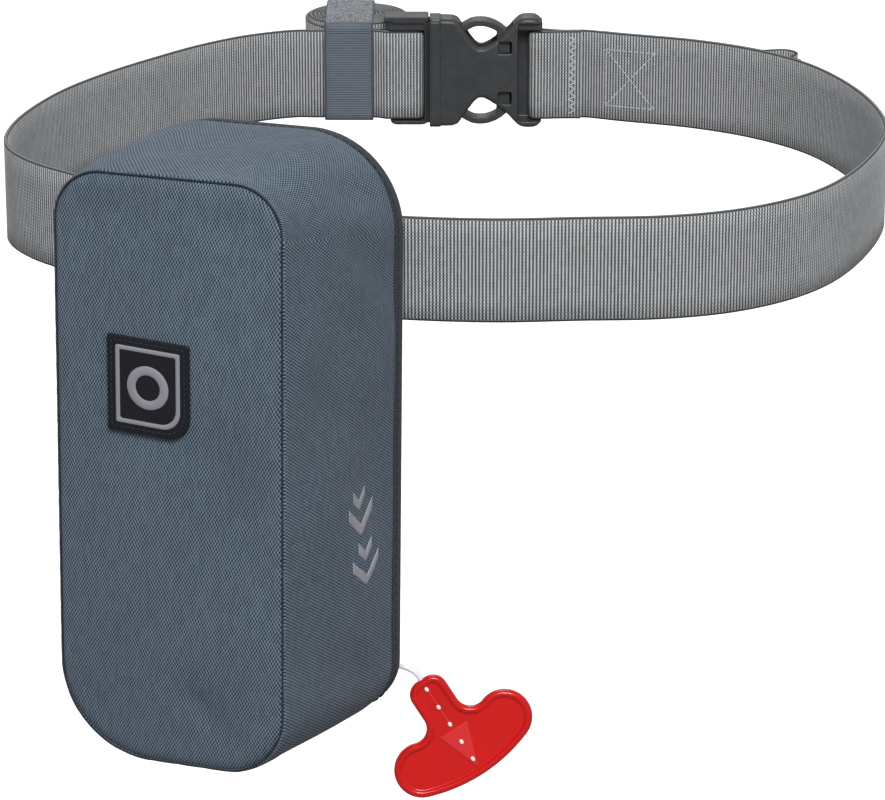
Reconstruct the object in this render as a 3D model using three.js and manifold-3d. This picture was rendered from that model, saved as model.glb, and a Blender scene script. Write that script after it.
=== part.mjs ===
// Inflatable belt pack: a hollow fabric pouch on a 38 mm waist belt with a side-release buckle,
// a rolled-up webbing tail under a hook-and-loop keeper, and a red pull handle on a short cord.
// Millimetres, +Z up. The origin is the middle of the waist loop at the webbing's mid height.
// The pouch hangs on the -Y side and faces -Y. The buckle is on the far +Y side.
import * as THREE from "three";
import Module from "manifold-3d";
import { mergeVertices } from "three/addons/utils/BufferGeometryUtils.js";

// Gap that touching pieces keep
const CLEARANCE = 0.3;

// Length by which a cutting solid runs past the solid that it cuts
const CUT_OVERRUN = 2;

// Waist belt: the webbing and the loop that it makes round the waist
const WEBBING_WIDTH = 38;
const WEBBING_THICKNESS = 1.4;
const LOOP_WIDTH = 327;
const LOOP_DEPTH = 308;

// Straight back run of the belt, which carries the keeper and the buckle
const RUN_ANGLE_DEG = 20;
const RUN_MIDDLE = { across: -0.357, along: 0.873 };
const RUN_RIGHT_REACH = 60;
const RUN_LEFT_REACH = 62;
const RUN_LEFT_LEAD = 8;
const RUN_RIGHT_LEAD = 1;

// Plan of the belt from the right end of the back run, round the front, to its left end:
// shares of half the loop's width and of half its depth
const BELT_PLAN = [
  { across: 0.086, along: 1.0 },
  { across: 0.279, along: 0.992 },
  { across: 0.445, along: 0.945 },
  { across: 0.602, along: 0.847 },
  { across: 0.73, along: 0.703 },
  { across: 0.87, along: 0.469 },
  { across: 0.961, along: 0.22 },
  { across: 0.989, along: -0.1 },
  { across: 0.967, along: -0.356 },
  { across: 0.911, along: -0.516 },
  { across: 0.819, along: -0.65 },
  { across: 0.699, along: -0.746 },
  { across: 0.536, along: -0.823 },
  { across: 0.374, along: -0.899 },
  { across: 0.198, along: -0.948 },
  { across: 0.03, along: -0.967 },
  { across: -0.135, along: -0.973 },
  { across: -0.306, along: -0.966 },
  { across: -0.465, along: -0.935 },
  { across: -0.612, along: -0.872 },
  { across: -0.774, along: -0.786 },
  { across: -0.885, along: -0.67 },
  { across: -0.96, along: -0.47 },
  { across: -0.994, along: -0.156 },
  { across: -0.973, along: 0.087 },
  { across: -0.928, along: 0.298 },
  { across: -0.875, along: 0.484 },
  { across: -0.803, along: 0.636 },
];
const POUCH_PLACE = -0.135;
const LOOP_STATIONS = 110;

// Buckle on the back run. Places along the run are measured from the run's middle, to the right.
const MOUTH_HALF_HEIGHT = 20.9;
const BUCKLE_THICKNESS = 12.5;
const BUCKLE_RAISE = 1.6;
const BUCKLE_WALL = 2;
const BUCKLE_BEVEL = 1.4;
const SLOT_SPARE = 0.4;
const BAR_RADIUS = 1.7;
const FEMALE_MOUTH = -5.4;
const FEMALE_BAR_PLACE = 39.8;
const FEMALE_END = 42;
const MALE_BAR_PLACE = -11.2;
const MALE_END_BAR_PLACE = -20.3;
const MALE_END = -22.3;
const MALE_HALF_HEIGHT = 22.8;
const MALE_FRAME_THICKNESS = 10.6;
const MALE_FRAME_CORNER = 3;
const ARM_ROOT = { length: 3, overlap: 0.5, tall: 34 };
const STRAND_SHIFT = 7;
const STUB_END = 58.3;
const STRAND_MERGE = 12;

// Upper edge of the female body's plate: place along the run, height from the buckle's middle line
const PLATE_EDGE = [
  { place: -4.2, height: 22.9 },
  { place: 5.2, height: 22.7 },
  { place: 9.2, height: 18.2 },
  { place: 15.3, height: 10.9 },
  { place: 22.0, height: 13.6 },
  { place: 27.3, height: 17.9 },
  { place: 32.2, height: 22.8 },
  { place: 36.4, height: 23.6 },
  { place: 39.6, height: 23.1 },
  { place: 42.0, height: 20.8 },
];
const CAVITY_END = 29.6;
const CAVITY_HALF_HEIGHT = 20.5;
const SLOT_START = 31.6;
const WINDOW = { place: 26.2, height: 10.8, width: 5.6, tall: 5.2 };

// Upper spring arm of the male half: middle line, place along the run and height from the middle
const ARM_LINE = [
  { place: -6.6, height: 15.4 },
  { place: 1, height: 16.0 },
  { place: 7, height: 17.5 },
  { place: 12.5, height: 20.6 },
  { place: 18, height: 20.9 },
  { place: 23, height: 19.0 },
  { place: 26.2, height: 16.4 },
];
const ARM_WIDTH = 2.9;
const TONGUE_HALF_WIDTH = 3.6;
const TONGUE_END = 25;
const TONGUE_THICKNESS = 4.7;
const HOOK = { place: 25.6, height: 12.4, width: 5.6, tall: 9.2 };

// Roll of spare webbing on the outer side of the belt, and the keeper strap round it
const ROLL_PLACE = -36.4;
const ROLL_RADIUS = 22.4;
const ROLL_RISE = 2;
const ROLL_CORE_RADIUS = 4.5;
const ROLL_STEPS_PER_TURN = 18;
const KEEPER_PLACE = -39.4;
const KEEPER_WIDTH = 20.5;
const KEEPER_THICKNESS = 1.2;
const KEEPER_FLAP_TOP = 17.5;
const KEEPER_START = 8;
const KEEPER_BEND = 1.5;

// Tab sewn on the belt's outer face right of the buckle, whose end makes a low loop.
// Lengths run along the belt from the start of its round stretch.
const TAB_START = 14;
const TAB_LOOP_START = 88;
const TAB_LOOP_LENGTH = 15;
const TAB_FOOT = 7;
const TAB_LOOP_REACH = 10.5;
const TAB_ARCH = [
  { along: 0, out: 0 },
  { along: 0.12, out: 0.45 },
  { along: 0.3, out: 0.9 },
  { along: 0.5, out: 1 },
  { along: 0.72, out: 0.93 },
  { along: 0.9, out: 0.5 },
  { along: 1, out: 0 },
];

// Pouch: front panel, crowned side wall, binding and back panel, hollow inside
// Drop is the depth of a face's middle under the belt's mid height. Skew is the back's shift right.
const POUCH_DEPTH = 82.8;
const POUCH_LEAN_DEG = 1.7;
const POUCH_SKEW = 0.8;
const CLOTH = 2;
const FRONT = { width: 83.6, height: 208.8, drop: 57 };
const FRONT_RADII = { topRight: 17.7, topLeft: 17.7, bottomLeft: 34, bottomRight: 23 };
const BACK = { width: 104.6, height: 211, drop: 56.6 };
const BACK_RADII = { topRight: 34, topLeft: 36.5, bottomLeft: 18.9, bottomRight: 18.9 };
const SIDE_CROWN = 1.9;
const FRONT_CROWN = 1.6;
const BINDING_WIDTH = 4.4;
const BINDING_STAND = 0.6;
const BINDING_ROUND = 0.25;
const CORNER_STEPS = 8;
const SIDE_SECTIONS = 7;

// Crown of the front panel: ring sizes as shares of its outline, rise as a share of FRONT_CROWN
const CROWN_RINGS = [
  { size: 1.0, rise: -0.35 },
  { size: 0.975, rise: 0.0 },
  { size: 0.82, rise: 0.42 },
  { size: 0.55, rise: 0.8 },
  { size: 0.25, rise: 0.97 },
];

// Rubber patch on the front panel, placed from the panel's middle
const PATCH_WIDTH = 28.9;
const PATCH_HEIGHT = 33;
const PATCH_THICKNESS = 1.1;
const PATCH_RADII = { topRight: 2.4, topLeft: 2.4, bottomLeft: 2.4, bottomRight: 8.5 };
const PATCH_ACROSS = -5.3;
const PATCH_UP = 31.7;
const PATCH_TILT_DEG = -2.5;
const PATCH_BORDER = 3.2;
const PATCH_FRAME_WIDTH = 1.6;
const PATCH_RING_RADIUS = 7.6;
const PATCH_RING_WIDTH = 3.2;
const PATCH_RING_SIDES = 20;
const PATCH_RELIEF = 0.5;

// Two belt loops sewn on the back panel
const LOOP_STRAP_WIDTH = 20;
const LOOP_STRAP_THICKNESS = 1.3;
const LOOP_STRAP_SPACING = 42;
const LOOP_STRAP_STAND = 6.6;
const LOOP_STRAP_MARGIN = 2.4;
const LOOP_STRAP_FOOT = 12;
const LOOP_STRAP_SLOPE = 5.3;
const LOOP_STRAP_RISE = [
  { down: 0, out: 0 },
  { down: 0.4, out: 0.2 },
  { down: 0.85, out: 0.8 },
  { down: 1.4, out: 1 },
];

// Pull cord: route in the row frame from inside the back panel to the handle's neck
const CORD_DIAMETER = 2;
const CORD_SIDES = 8;
const CORD_STEPS = 18;
const CORD_ROUTE = [
  [9.5, -156.95, -145],
  [9.57, -155.73, -145],
  [9.76, -154.16, -145.1],
  [10.24, -152.59, -145.3],
  [11.38, -151.19, -145.8],
  [13.05, -149.83, -146.5],
  [15.12, -148.76, -147.3],
  [17.3, -147.85, -148.1],
  [19.62, -147.16, -148.8],
  [21.95, -146.67, -149.4],
  [24.26, -146.24, -149.9],
  [26.5, -145.88, -150.3],
  [28.74, -145.61, -150.7],
  [30.78, -145.4, -151.3],
  [32.62, -145.18, -152.3],
  [34.16, -145.06, -153.7],
  [35.3, -145.05, -155.45],
];
const EYELET_RADIUS = 4;
const EYELET_THICKNESS = 1.4;
const EYELET_ROUND = 0.6;
const BORE_SIDES = 10;

// Pull handle: a flat T with a raised rim. Sizes run from the end of the neck.
const HANDLE_FACING_DEG = 20;
const HANDLE_TILT_DEG = 12;
const HANDLE_LEAN_DEG = 33.4;
const HANDLE_LENGTH = 40;
const HANDLE_THICKNESS = 4.6;
const HANDLE_EDGE = 0.9;
const NECK_HALF_WIDTH = 6.8;
const NECK_CORNER = 5;
const LOBE_RADIUS = 9.7;
const LOBE_ACROSS = 17.9;
const LOBE_ALONG = 27.1;
const NOTCH_RADIUS = 6;
const RIM_WIDTH = 2.6;
const RIM_HEIGHT = 0.9;
const ARROW_START = 19;
const ARROW_LENGTH = 15.5;
const ARROW_HALF_WIDTH = 5;
const ARROW_HEIGHT = 0.45;

const wasm = await Module();
wasm.setup();

const degrees = (value) => THREE.MathUtils.degToRad(value);
const ease = (share) => share * share * (3 - 2 * share);
const mix = (start, end, share) => start + (end - start) * share;

function material(color, roughness, metalness = 0) {
  return new THREE.MeshStandardMaterial({ color, roughness, metalness });
}

const POUCH_CLOTH = material(0x4a5a68, 0.85);
const BINDING_CLOTH = material(0x343d46, 0.9);
const WEBBING = material(0x808488, 0.8);
const KEEPER_CLOTH = material(0x5c636d, 0.9);
const BUCKLE_PLASTIC = material(0x3c3e41, 0.5);
const HANDLE_PLASTIC = material(0xc8282a, 0.3);
const CORD_COATING = material(0xd8dad8, 0.3);
const PATCH_RUBBER = material(0x17191b, 0.6);
const EYELET_METAL = material(0x8a8d90, 0.4, 0.9);

function mesh(name, geometry, finish) {
  const piece = new THREE.Mesh(geometry, finish);
  piece.name = name;
  return piece;
}

// A closed mesh from corners and triangles, turned so that its faces point out
function closedGeometry(corners, triangles) {
  let volume = 0;
  const cross = new THREE.Vector3();
  for (const [a, b, c] of triangles) {
    cross.crossVectors(corners[b], corners[c]);
    volume += corners[a].dot(cross);
  }
  const facing = volume > 0 ? triangles : triangles.map(([a, b, c]) => [a, c, b]);
  const geometry = new THREE.BufferGeometry().setFromPoints(corners);
  geometry.setIndex(facing.flat());
  geometry.computeVertexNormals();
  return geometry;
}

function solidFrom(geometry) {
  const plain = geometry.clone();
  plain.deleteAttribute("normal");
  plain.deleteAttribute("uv");
  const merged = mergeVertices(plain, 1e-4);
  return new wasm.Manifold(new wasm.Mesh({
    numProp: 3,
    vertProperties: new Float32Array(merged.attributes.position.array),
    triVerts: new Uint32Array(merged.index.array),
  }));
}

function geometryFrom(solid) {
  const { vertProperties, triVerts } = solid.getMesh();
  const geometry = new THREE.BufferGeometry();
  geometry.setAttribute("position", new THREE.BufferAttribute(new Float32Array(vertProperties), 3));
  geometry.setIndex(new THREE.BufferAttribute(new Uint32Array(triVerts), 1));
  geometry.computeVertexNormals();
  return geometry;
}

// Join the first geometry with the added ones, then cut the others out of it
function carve(base, added, removed) {
  let solid = solidFrom(base);
  for (const piece of added) solid = solid.add(solidFrom(piece));
  for (const piece of removed) solid = solid.subtract(solidFrom(piece));
  return geometryFrom(solid);
}

function box(sizeX, sizeY, sizeZ, x, y, z) {
  return new THREE.BoxGeometry(sizeX, sizeY, sizeZ).translate(x, y, z);
}

// Flat strip of cloth that follows a path. Its width runs both ways along widthDirection.
function ribbon(path, widthDirection, width, thickness) {
  const half = widthDirection.clone().normalize().multiplyScalar(width / 2);
  const corners = [];
  path.forEach((point, index) => {
    const before = path[Math.max(index - 1, 0)];
    const after = path[Math.min(index + 1, path.length - 1)];
    const arriving = point.clone().sub(before).normalize();
    const leaving = after.clone().sub(point).normalize();
    const tangent = arriving.clone().add(leaving).normalize();
    const turn = Math.max(tangent.dot(index > 0 ? arriving : leaving), 0.5);
    const side = tangent.clone().cross(half).normalize().multiplyScalar(thickness / 2 / turn);
    corners.push(
      point.clone().add(side).sub(half),
      point.clone().add(side).add(half),
      point.clone().sub(side).add(half),
      point.clone().sub(side).sub(half),
    );
  });
  const last = corners.length - 4;
  const triangles = [[0, 1, 2], [0, 2, 3], [last, last + 2, last + 1], [last, last + 3, last + 2]];
  for (let base = 0; base < last; base += 4) {
    for (let edge = 0; edge < 4; edge += 1) {
      const next = (edge + 1) % 4;
      triangles.push([base + edge, base + 4 + edge, base + 4 + next]);
      triangles.push([base + edge, base + 4 + next, base + next]);
    }
  }
  return closedGeometry(corners, triangles);
}

// Skin over rings of corners that all have the same count, left open at both ends
function skinTriangles(rings) {
  const count = rings[0].length;
  const triangles = [];
  for (let ring = 0; ring < rings.length - 1; ring += 1) {
    for (let corner = 0; corner < count; corner += 1) {
      const next = (corner + 1) % count;
      const near = ring * count;
      const far = near + count;
      triangles.push([near + corner, near + next, far + next], [near + corner, far + next, far + corner]);
    }
  }
  return triangles;
}

// Closed sleeve: the rings run along the outside and back along the inside
function sleeve(rings) {
  const loop = [...rings, rings[0]];
  const count = rings[0].length;
  const total = rings.length * count;
  const triangles = skinTriangles(loop).map((corners) => corners.map((corner) => corner % total));
  return closedGeometry(rings.flat(), triangles);
}

// Closed solid over rings, with a flat lid on the first and on the last ring
function stack(drawnRings) {
  const drawn = drawnRings[0].map((corner) => new THREE.Vector2(corner.x, corner.y));
  const clockwise = THREE.ShapeUtils.isClockWise(drawn);
  const rings = clockwise ? drawnRings.map((ring) => [...ring].reverse()) : drawnRings;
  const corners = rings.flat();
  const count = rings[0].length;
  const triangles = skinTriangles(rings);
  const flat = rings[0].map((corner) => new THREE.Vector2(corner.x, corner.y));
  const lid = THREE.ShapeUtils.triangulateShape(flat, []);
  const top = corners.length - count;
  for (const [a, b, c] of lid) {
    triangles.push([a, c, b], [top + a, top + b, top + c]);
  }
  return closedGeometry(corners, triangles);
}

function arc(centreX, centreY, radius, fromDeg, toDeg, steps) {
  const points = [];
  for (let step = 0; step <= steps; step += 1) {
    const angle = degrees(mix(fromDeg, toDeg, step / steps));
    points.push(new THREE.Vector2(centreX + radius * Math.cos(angle), centreY + radius * Math.sin(angle)));
  }
  return points;
}

function evenCorners(radius) {
  return { topRight: radius, topLeft: radius, bottomLeft: radius, bottomRight: radius };
}

function circle(radius, sides) {
  return arc(0, 0, radius, 0, 360 - 360 / sides, sides - 1);
}

// Rounded rectangle about the middle, with its own radius for each corner
function roundedOutline(width, height, radii, steps = CORNER_STEPS) {
  const corners = [
    { radius: radii.topRight, right: 1, up: 1, fromDeg: 0 },
    { radius: radii.topLeft, right: -1, up: 1, fromDeg: 90 },
    { radius: radii.bottomLeft, right: -1, up: -1, fromDeg: 180 },
    { radius: radii.bottomRight, right: 1, up: -1, fromDeg: 270 },
  ];
  return corners.flatMap(({ radius, right, up, fromDeg }) => arc(
    right * (width / 2 - radius), up * (height / 2 - radius), radius, fromDeg, fromDeg + 90, steps,
  ));
}

// Extrude an outline drawn across and up, so that its thickness lies along Y about the middle.
// A bevel takes off the edges of both faces.
function upright(outline, thickness, holes = [], bevel = 0) {
  const shape = new THREE.Shape(outline);
  shape.holes = holes.map((hole) => new THREE.Path(hole));
  const geometry = new THREE.ExtrudeGeometry(shape, {
    depth: thickness - 2 * bevel,
    bevelEnabled: bevel > 0,
    bevelThickness: bevel,
    bevelSize: bevel,
    bevelOffset: -bevel,
    bevelSegments: 1,
  });
  return geometry.translate(0, 0, bevel - thickness / 2).rotateX(Math.PI / 2);
}

// Belt: the plan of the loop, the strands round both buckle bars and the roll

const runAngle = degrees(RUN_ANGLE_DEG);
const runMiddle = new THREE.Vector3(RUN_MIDDLE.across * LOOP_WIDTH / 2, RUN_MIDDLE.along * LOOP_DEPTH / 2, 0);
const runAlong = new THREE.Vector3(Math.cos(runAngle), Math.sin(runAngle), 0);
const runOutward = new THREE.Vector3(-Math.sin(runAngle), Math.cos(runAngle), 0);

// A point of the back run: place along it, distance outward from its middle line, height
function runPoint(place, outward, height = 0) {
  return runMiddle.clone()
    .addScaledVector(runAlong, place)
    .addScaledVector(runOutward, outward)
    .setZ(height);
}

const wrapRadius = BAR_RADIUS + CLEARANCE + WEBBING_THICKNESS / 2;
const strandStep = WEBBING_THICKNESS + CLEARANCE;
const mergeEnd = FEMALE_BAR_PLACE + STRAND_MERGE;

const loopCurve = new THREE.CatmullRomCurve3([
  runPoint(mergeEnd + RUN_RIGHT_LEAD, 0),
  runPoint(RUN_RIGHT_REACH, 0),
  ...BELT_PLAN.map((row) => new THREE.Vector3(row.across * LOOP_WIDTH / 2, row.along * LOOP_DEPTH / 2, 0)),
  runPoint(-RUN_LEFT_REACH, 0),
  runPoint(-RUN_LEFT_REACH + RUN_LEFT_LEAD, 0),
], false, "centripetal");

// Strand of the back run that moves from one distance to another between two places
function easedStrand(fromPlace, toPlace, fromOutward, toOutward, steps) {
  const points = [];
  for (let step = 0; step < steps; step += 1) {
    const share = step / steps;
    points.push(runPoint(mix(fromPlace, toPlace, share), mix(fromOutward, toOutward, ease(share))));
  }
  return points;
}

// Half turn round a buckle bar, from the belt's inner side to its outer side
function barTurn(barPlace, side) {
  const points = [];
  const steps = 8;
  for (let step = 0; step < steps; step += 1) {
    const angle = mix(-Math.PI / 2, Math.PI / 2, step / steps);
    points.push(runPoint(barPlace + side * wrapRadius * Math.cos(angle), wrapRadius * Math.sin(angle)));
  }
  return points;
}

const rollLineRadius = ROLL_RADIUS - WEBBING_THICKNESS / 2;
const rollOutward = strandStep + rollLineRadius;

function rollPoints() {
  const points = [];
  const turns = (rollLineRadius - ROLL_CORE_RADIUS) / strandStep;
  const steps = Math.floor(turns * ROLL_STEPS_PER_TURN);
  for (let step = 0; step <= steps; step += 1) {
    const turned = step / ROLL_STEPS_PER_TURN;
    const radius = rollLineRadius - strandStep * turned;
    const angle = turned * 2 * Math.PI;
    const rise = ROLL_RISE * ease(Math.min(2 * turned, 1));
    points.push(runPoint(ROLL_PLACE - radius * Math.sin(angle), rollOutward - radius * Math.cos(angle), rise));
  }
  return points;
}

function beltPath() {
  const maleShiftEnd = MALE_END_BAR_PLACE - BAR_RADIUS - CLEARANCE;
  const maleShiftStart = maleShiftEnd - STRAND_SHIFT;
  return [
    ...easedStrand(STUB_END, mergeEnd, -strandStep, -strandStep, 2),
    ...easedStrand(mergeEnd, FEMALE_BAR_PLACE, -strandStep, -wrapRadius, 5),
    ...barTurn(FEMALE_BAR_PLACE, -1),
    ...easedStrand(FEMALE_BAR_PLACE, mergeEnd, wrapRadius, 0, 5),
    runPoint(mergeEnd, 0),
    ...loopCurve.getSpacedPoints(LOOP_STATIONS),
    ...easedStrand(maleShiftStart, maleShiftEnd, 0, -wrapRadius, 5),
    ...easedStrand(maleShiftEnd, MALE_BAR_PLACE, -wrapRadius, -wrapRadius, 2),
    ...barTurn(MALE_BAR_PLACE, 1),
    ...easedStrand(MALE_BAR_PLACE, maleShiftEnd, wrapRadius, wrapRadius, 2),
    ...easedStrand(maleShiftEnd, ROLL_PLACE, wrapRadius, strandStep, 6),
    ...rollPoints(),
  ];
}

function beltWebbing() {
  return ribbon(beltPath(), new THREE.Vector3(0, 0, 1), WEBBING_WIDTH, WEBBING_THICKNESS);
}

// Tab on the outer face: along the belt at the belt's own stations, out into a low arch and back
function accessoryTab() {
  const total = loopCurve.getLength();
  const stationStep = total / LOOP_STATIONS;
  const rows = [{ along: TAB_START, out: 0 }];
  for (let along = Math.ceil(TAB_START / stationStep + 0.2) * stationStep; along < TAB_LOOP_START - 2;) {
    rows.push({ along, out: 0 });
    along += stationStep;
  }
  for (const row of TAB_ARCH) {
    rows.push({ along: TAB_LOOP_START + row.along * TAB_LOOP_LENGTH, out: row.out });
  }
  rows.push({ along: TAB_LOOP_START + TAB_LOOP_LENGTH + TAB_FOOT, out: 0 });
  const path = rows.map((row) => {
    const place = loopCurve.getPointAt(row.along / total);
    const tangent = loopCurve.getTangentAt(row.along / total);
    const outward = new THREE.Vector3(-tangent.y, tangent.x, 0);
    return place.addScaledVector(outward, strandStep + row.out * (TAB_LOOP_REACH - strandStep));
  });
  return ribbon(path, new THREE.Vector3(0, 0, 1), WEBBING_WIDTH, WEBBING_THICKNESS);
}

// Keeper: one strap round the belt and the roll, its end lying over its start on the inner side
function keeperStrap() {
  const step = KEEPER_THICKNESS + CLEARANCE;
  const hold = CLEARANCE + KEEPER_THICKNESS / 2;
  const front = -WEBBING_THICKNESS / 2 - hold;
  const back = rollOutward + ROLL_RADIUS + hold;
  const top = WEBBING_WIDTH / 2 + ROLL_RISE + hold;
  const bottom = -WEBBING_WIDTH / 2 - hold;
  const route = [
    [front, KEEPER_START],
    [front, top - KEEPER_BEND],
    [front + KEEPER_BEND, top],
    [back - KEEPER_BEND, top],
    [back, top - KEEPER_BEND],
    [back, bottom + KEEPER_BEND],
    [back - KEEPER_BEND, bottom],
    [front - step + KEEPER_BEND, bottom],
    [front - step, bottom + KEEPER_BEND],
    [front - step, KEEPER_FLAP_TOP],
  ];
  const path = route.map(([outward, height]) => new THREE.Vector3(KEEPER_PLACE, outward, height));
  return ribbon(path, new THREE.Vector3(1, 0, 0), KEEPER_WIDTH, KEEPER_THICKNESS);
}

// Buckle, drawn along the run (X), outward (Y) and up (Z), about its own middle line

const slotHalfHeight = WEBBING_WIDTH / 2 + BUCKLE_RAISE + SLOT_SPARE;

function crossBar(place, reach) {
  const bar = new THREE.CylinderGeometry(BAR_RADIUS, BAR_RADIUS, 2 * reach, 16);
  return bar.rotateX(Math.PI / 2).translate(place, 0, 0);
}

function buckleFemale() {
  const upper = PLATE_EDGE.map((row) => new THREE.Vector2(row.place, row.height));
  const lower = [...upper].reverse().map((point) => new THREE.Vector2(point.x, -point.y));
  const mouth = [
    new THREE.Vector2(FEMALE_MOUTH, -MOUTH_HALF_HEIGHT),
    new THREE.Vector2(FEMALE_MOUTH, MOUTH_HALF_HEIGHT),
  ];
  const edge = new THREE.SplineCurve(upper).getPoints(30);
  const underEdge = new THREE.SplineCurve(lower).getPoints(30);
  const body = upright([...mouth, ...edge, ...underEdge], BUCKLE_THICKNESS, [], BUCKLE_BEVEL);
  const inside = BUCKLE_THICKNESS - 2 * BUCKLE_WALL;
  const cavityLength = CAVITY_END - FEMALE_MOUTH + CUT_OVERRUN;
  const cavity = box(cavityLength, inside, 2 * CAVITY_HALF_HEIGHT, CAVITY_END - cavityLength / 2, 0, 0);
  const slotLength = FEMALE_END - SLOT_START + CUT_OVERRUN;
  const cutDepth = BUCKLE_THICKNESS + CUT_OVERRUN;
  const slot = box(slotLength, cutDepth, 2 * slotHalfHeight, SLOT_START + slotLength / 2, 0, 0);
  const windows = [1, -1].map((side) => box(
    WINDOW.width, cutDepth, WINDOW.tall, WINDOW.place, 0, side * WINDOW.height,
  ));
  const open = carve(body, [], [cavity, slot, ...windows]);
  return carve(open, [crossBar(FEMALE_BAR_PLACE, slotHalfHeight + 1)], []);
}

// Spring arm: a band of constant width along the arm's middle line, on the upper or lower side
function springArm(side, thickness) {
  const line = new THREE.SplineCurve(ARM_LINE.map((row) => new THREE.Vector2(row.place, row.height)));
  const outer = [];
  const inner = [];
  const steps = 14;
  for (let step = 0; step <= steps; step += 1) {
    const point = line.getPoint(step / steps);
    const tangent = line.getTangent(step / steps);
    const across = new THREE.Vector2(-tangent.y, tangent.x).multiplyScalar(ARM_WIDTH / 2);
    outer.push(point.clone().add(across));
    inner.unshift(point.clone().sub(across));
  }
  const outline = [...outer, ...inner].map((point) => new THREE.Vector2(point.x, side * point.y));
  return upright(outline, thickness);
}

function buckleMale() {
  const shoulder = FEMALE_MOUTH - CLEARANCE;
  const frameLength = shoulder - MALE_END;
  const frame = upright(
    roundedOutline(frameLength, 2 * MALE_HALF_HEIGHT, evenCorners(MALE_FRAME_CORNER), 4).map(
      (point) => new THREE.Vector2(point.x + MALE_END + frameLength / 2, point.y),
    ),
    MALE_FRAME_THICKNESS,
    [],
    BUCKLE_BEVEL,
  );
  const windowStart = MALE_END - CUT_OVERRUN;
  const windowEnd = MALE_BAR_PLACE + wrapRadius + WEBBING_THICKNESS / 2 + CLEARANCE;
  const window = box(
    windowEnd - windowStart, BUCKLE_THICKNESS, 2 * slotHalfHeight, (windowStart + windowEnd) / 2, 0, 0,
  );
  const inside = BUCKLE_THICKNESS - 2 * BUCKLE_WALL - 2 * CLEARANCE;
  const tongueLength = TONGUE_END - windowEnd;
  const parts = [
    crossBar(MALE_BAR_PLACE, slotHalfHeight + 1),
    crossBar(MALE_END_BAR_PLACE, slotHalfHeight + 1),
    box(ARM_ROOT.length, inside, ARM_ROOT.tall, shoulder + ARM_ROOT.length / 2 - ARM_ROOT.overlap, 0, 0),
    box(tongueLength, TONGUE_THICKNESS, 2 * TONGUE_HALF_WIDTH, windowEnd + tongueLength / 2, 0, 0),
  ];
  for (const side of [1, -1]) {
    parts.push(springArm(side, inside));
    parts.push(box(HOOK.width, inside, HOOK.tall, HOOK.place, 0, side * HOOK.height));
  }
  const open = carve(frame, [], [window]);
  return carve(open, parts, []);
}

// Pouch, drawn in its own frame: the back panel's rear face is at Y = 0, the belt's mid height at Z = 0

// Outline of the pouch at a share of its depth, 0 at the front and 1 at the back
function pouchRing(share, y, inset = 0) {
  const crown = SIDE_CROWN * 4 * share * (1 - share) - inset;
  const radii = {};
  for (const corner of Object.keys(FRONT_RADII)) {
    radii[corner] = mix(FRONT_RADII[corner], BACK_RADII[corner], share) + crown;
  }
  const width = mix(FRONT.width, BACK.width, share) + 2 * crown;
  const height = mix(FRONT.height, BACK.height, share) + 2 * crown;
  const shift = POUCH_SKEW * share;
  const drop = mix(FRONT.drop, BACK.drop, share);
  return roundedOutline(width, height, radii).map((point) => new THREE.Vector3(point.x + shift, y, point.y - drop));
}

function sideWall() {
  const front = -POUCH_DEPTH + CLOTH + CLEARANCE;
  const back = -CLOTH - CLEARANCE - BINDING_WIDTH - CLEARANCE;
  const outside = [];
  const inside = [];
  for (let section = 0; section < SIDE_SECTIONS; section += 1) {
    const y = mix(front, back, section / (SIDE_SECTIONS - 1));
    const share = (y + POUCH_DEPTH) / POUCH_DEPTH;
    outside.push(pouchRing(share, y));
    inside.unshift(pouchRing(share, y, CLOTH));
  }
  return sleeve([...outside, ...inside]);
}

function backBinding() {
  const back = -CLOTH - CLEARANCE;
  const front = back - BINDING_WIDTH;
  const rings = [
    pouchRing(1, front, 0),
    pouchRing(1, mix(front, back, BINDING_ROUND), -BINDING_STAND),
    pouchRing(1, mix(back, front, BINDING_ROUND), -BINDING_STAND),
    pouchRing(1, back, 0),
    pouchRing(1, back, CLOTH),
    pouchRing(1, front, CLOTH),
  ];
  return sleeve(rings);
}

function frontPanel() {
  const edge = roundedOutline(FRONT.width, FRONT.height, FRONT_RADII);
  const ring = (size, y) => edge.map((point) => new THREE.Vector3(point.x * size, y, point.y * size - FRONT.drop));
  const outside = CROWN_RINGS.map((row) => ring(row.size, -POUCH_DEPTH - row.rise * FRONT_CROWN));
  const inside = CROWN_RINGS.map((row) => ring(row.size, -POUCH_DEPTH + CLOTH - Math.max(row.rise, 0) * FRONT_CROWN));
  inside.reverse();
  const rings = [...inside, ...outside];
  const corners = rings.flat();
  const triangles = skinTriangles(rings);
  const count = edge.length;
  const last = corners.length - count;
  corners.push(new THREE.Vector3(0, -POUCH_DEPTH + CLOTH - FRONT_CROWN, -FRONT.drop));
  corners.push(new THREE.Vector3(0, -POUCH_DEPTH - FRONT_CROWN, -FRONT.drop));
  for (let corner = 0; corner < count; corner += 1) {
    const next = (corner + 1) % count;
    triangles.push([corners.length - 2, next, corner]);
    triangles.push([corners.length - 1, last + corner, last + next]);
  }
  return closedGeometry(corners, triangles);
}

// Places on the pouch that the cord's route fixes
const pouchX = POUCH_PLACE * LOOP_WIDTH / 2;
const lean = degrees(POUCH_LEAN_DEG);
const cordStart = new THREE.Vector3(...CORD_ROUTE[0]);
const eyeletCentre = new THREE.Vector2(cordStart.x - pouchX, cordStart.z / Math.cos(lean));
const cordBore = CORD_DIAMETER / 2 + CLEARANCE;

function backPanel() {
  const outline = pouchRing(1, 0).map((point) => new THREE.Vector2(point.x, point.z));
  const hole = circle(cordBore, BORE_SIDES).reverse().map((point) => point.add(eyeletCentre));
  return upright(outline, CLOTH, [hole]).translate(0, -CLOTH / 2, 0);
}

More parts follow.
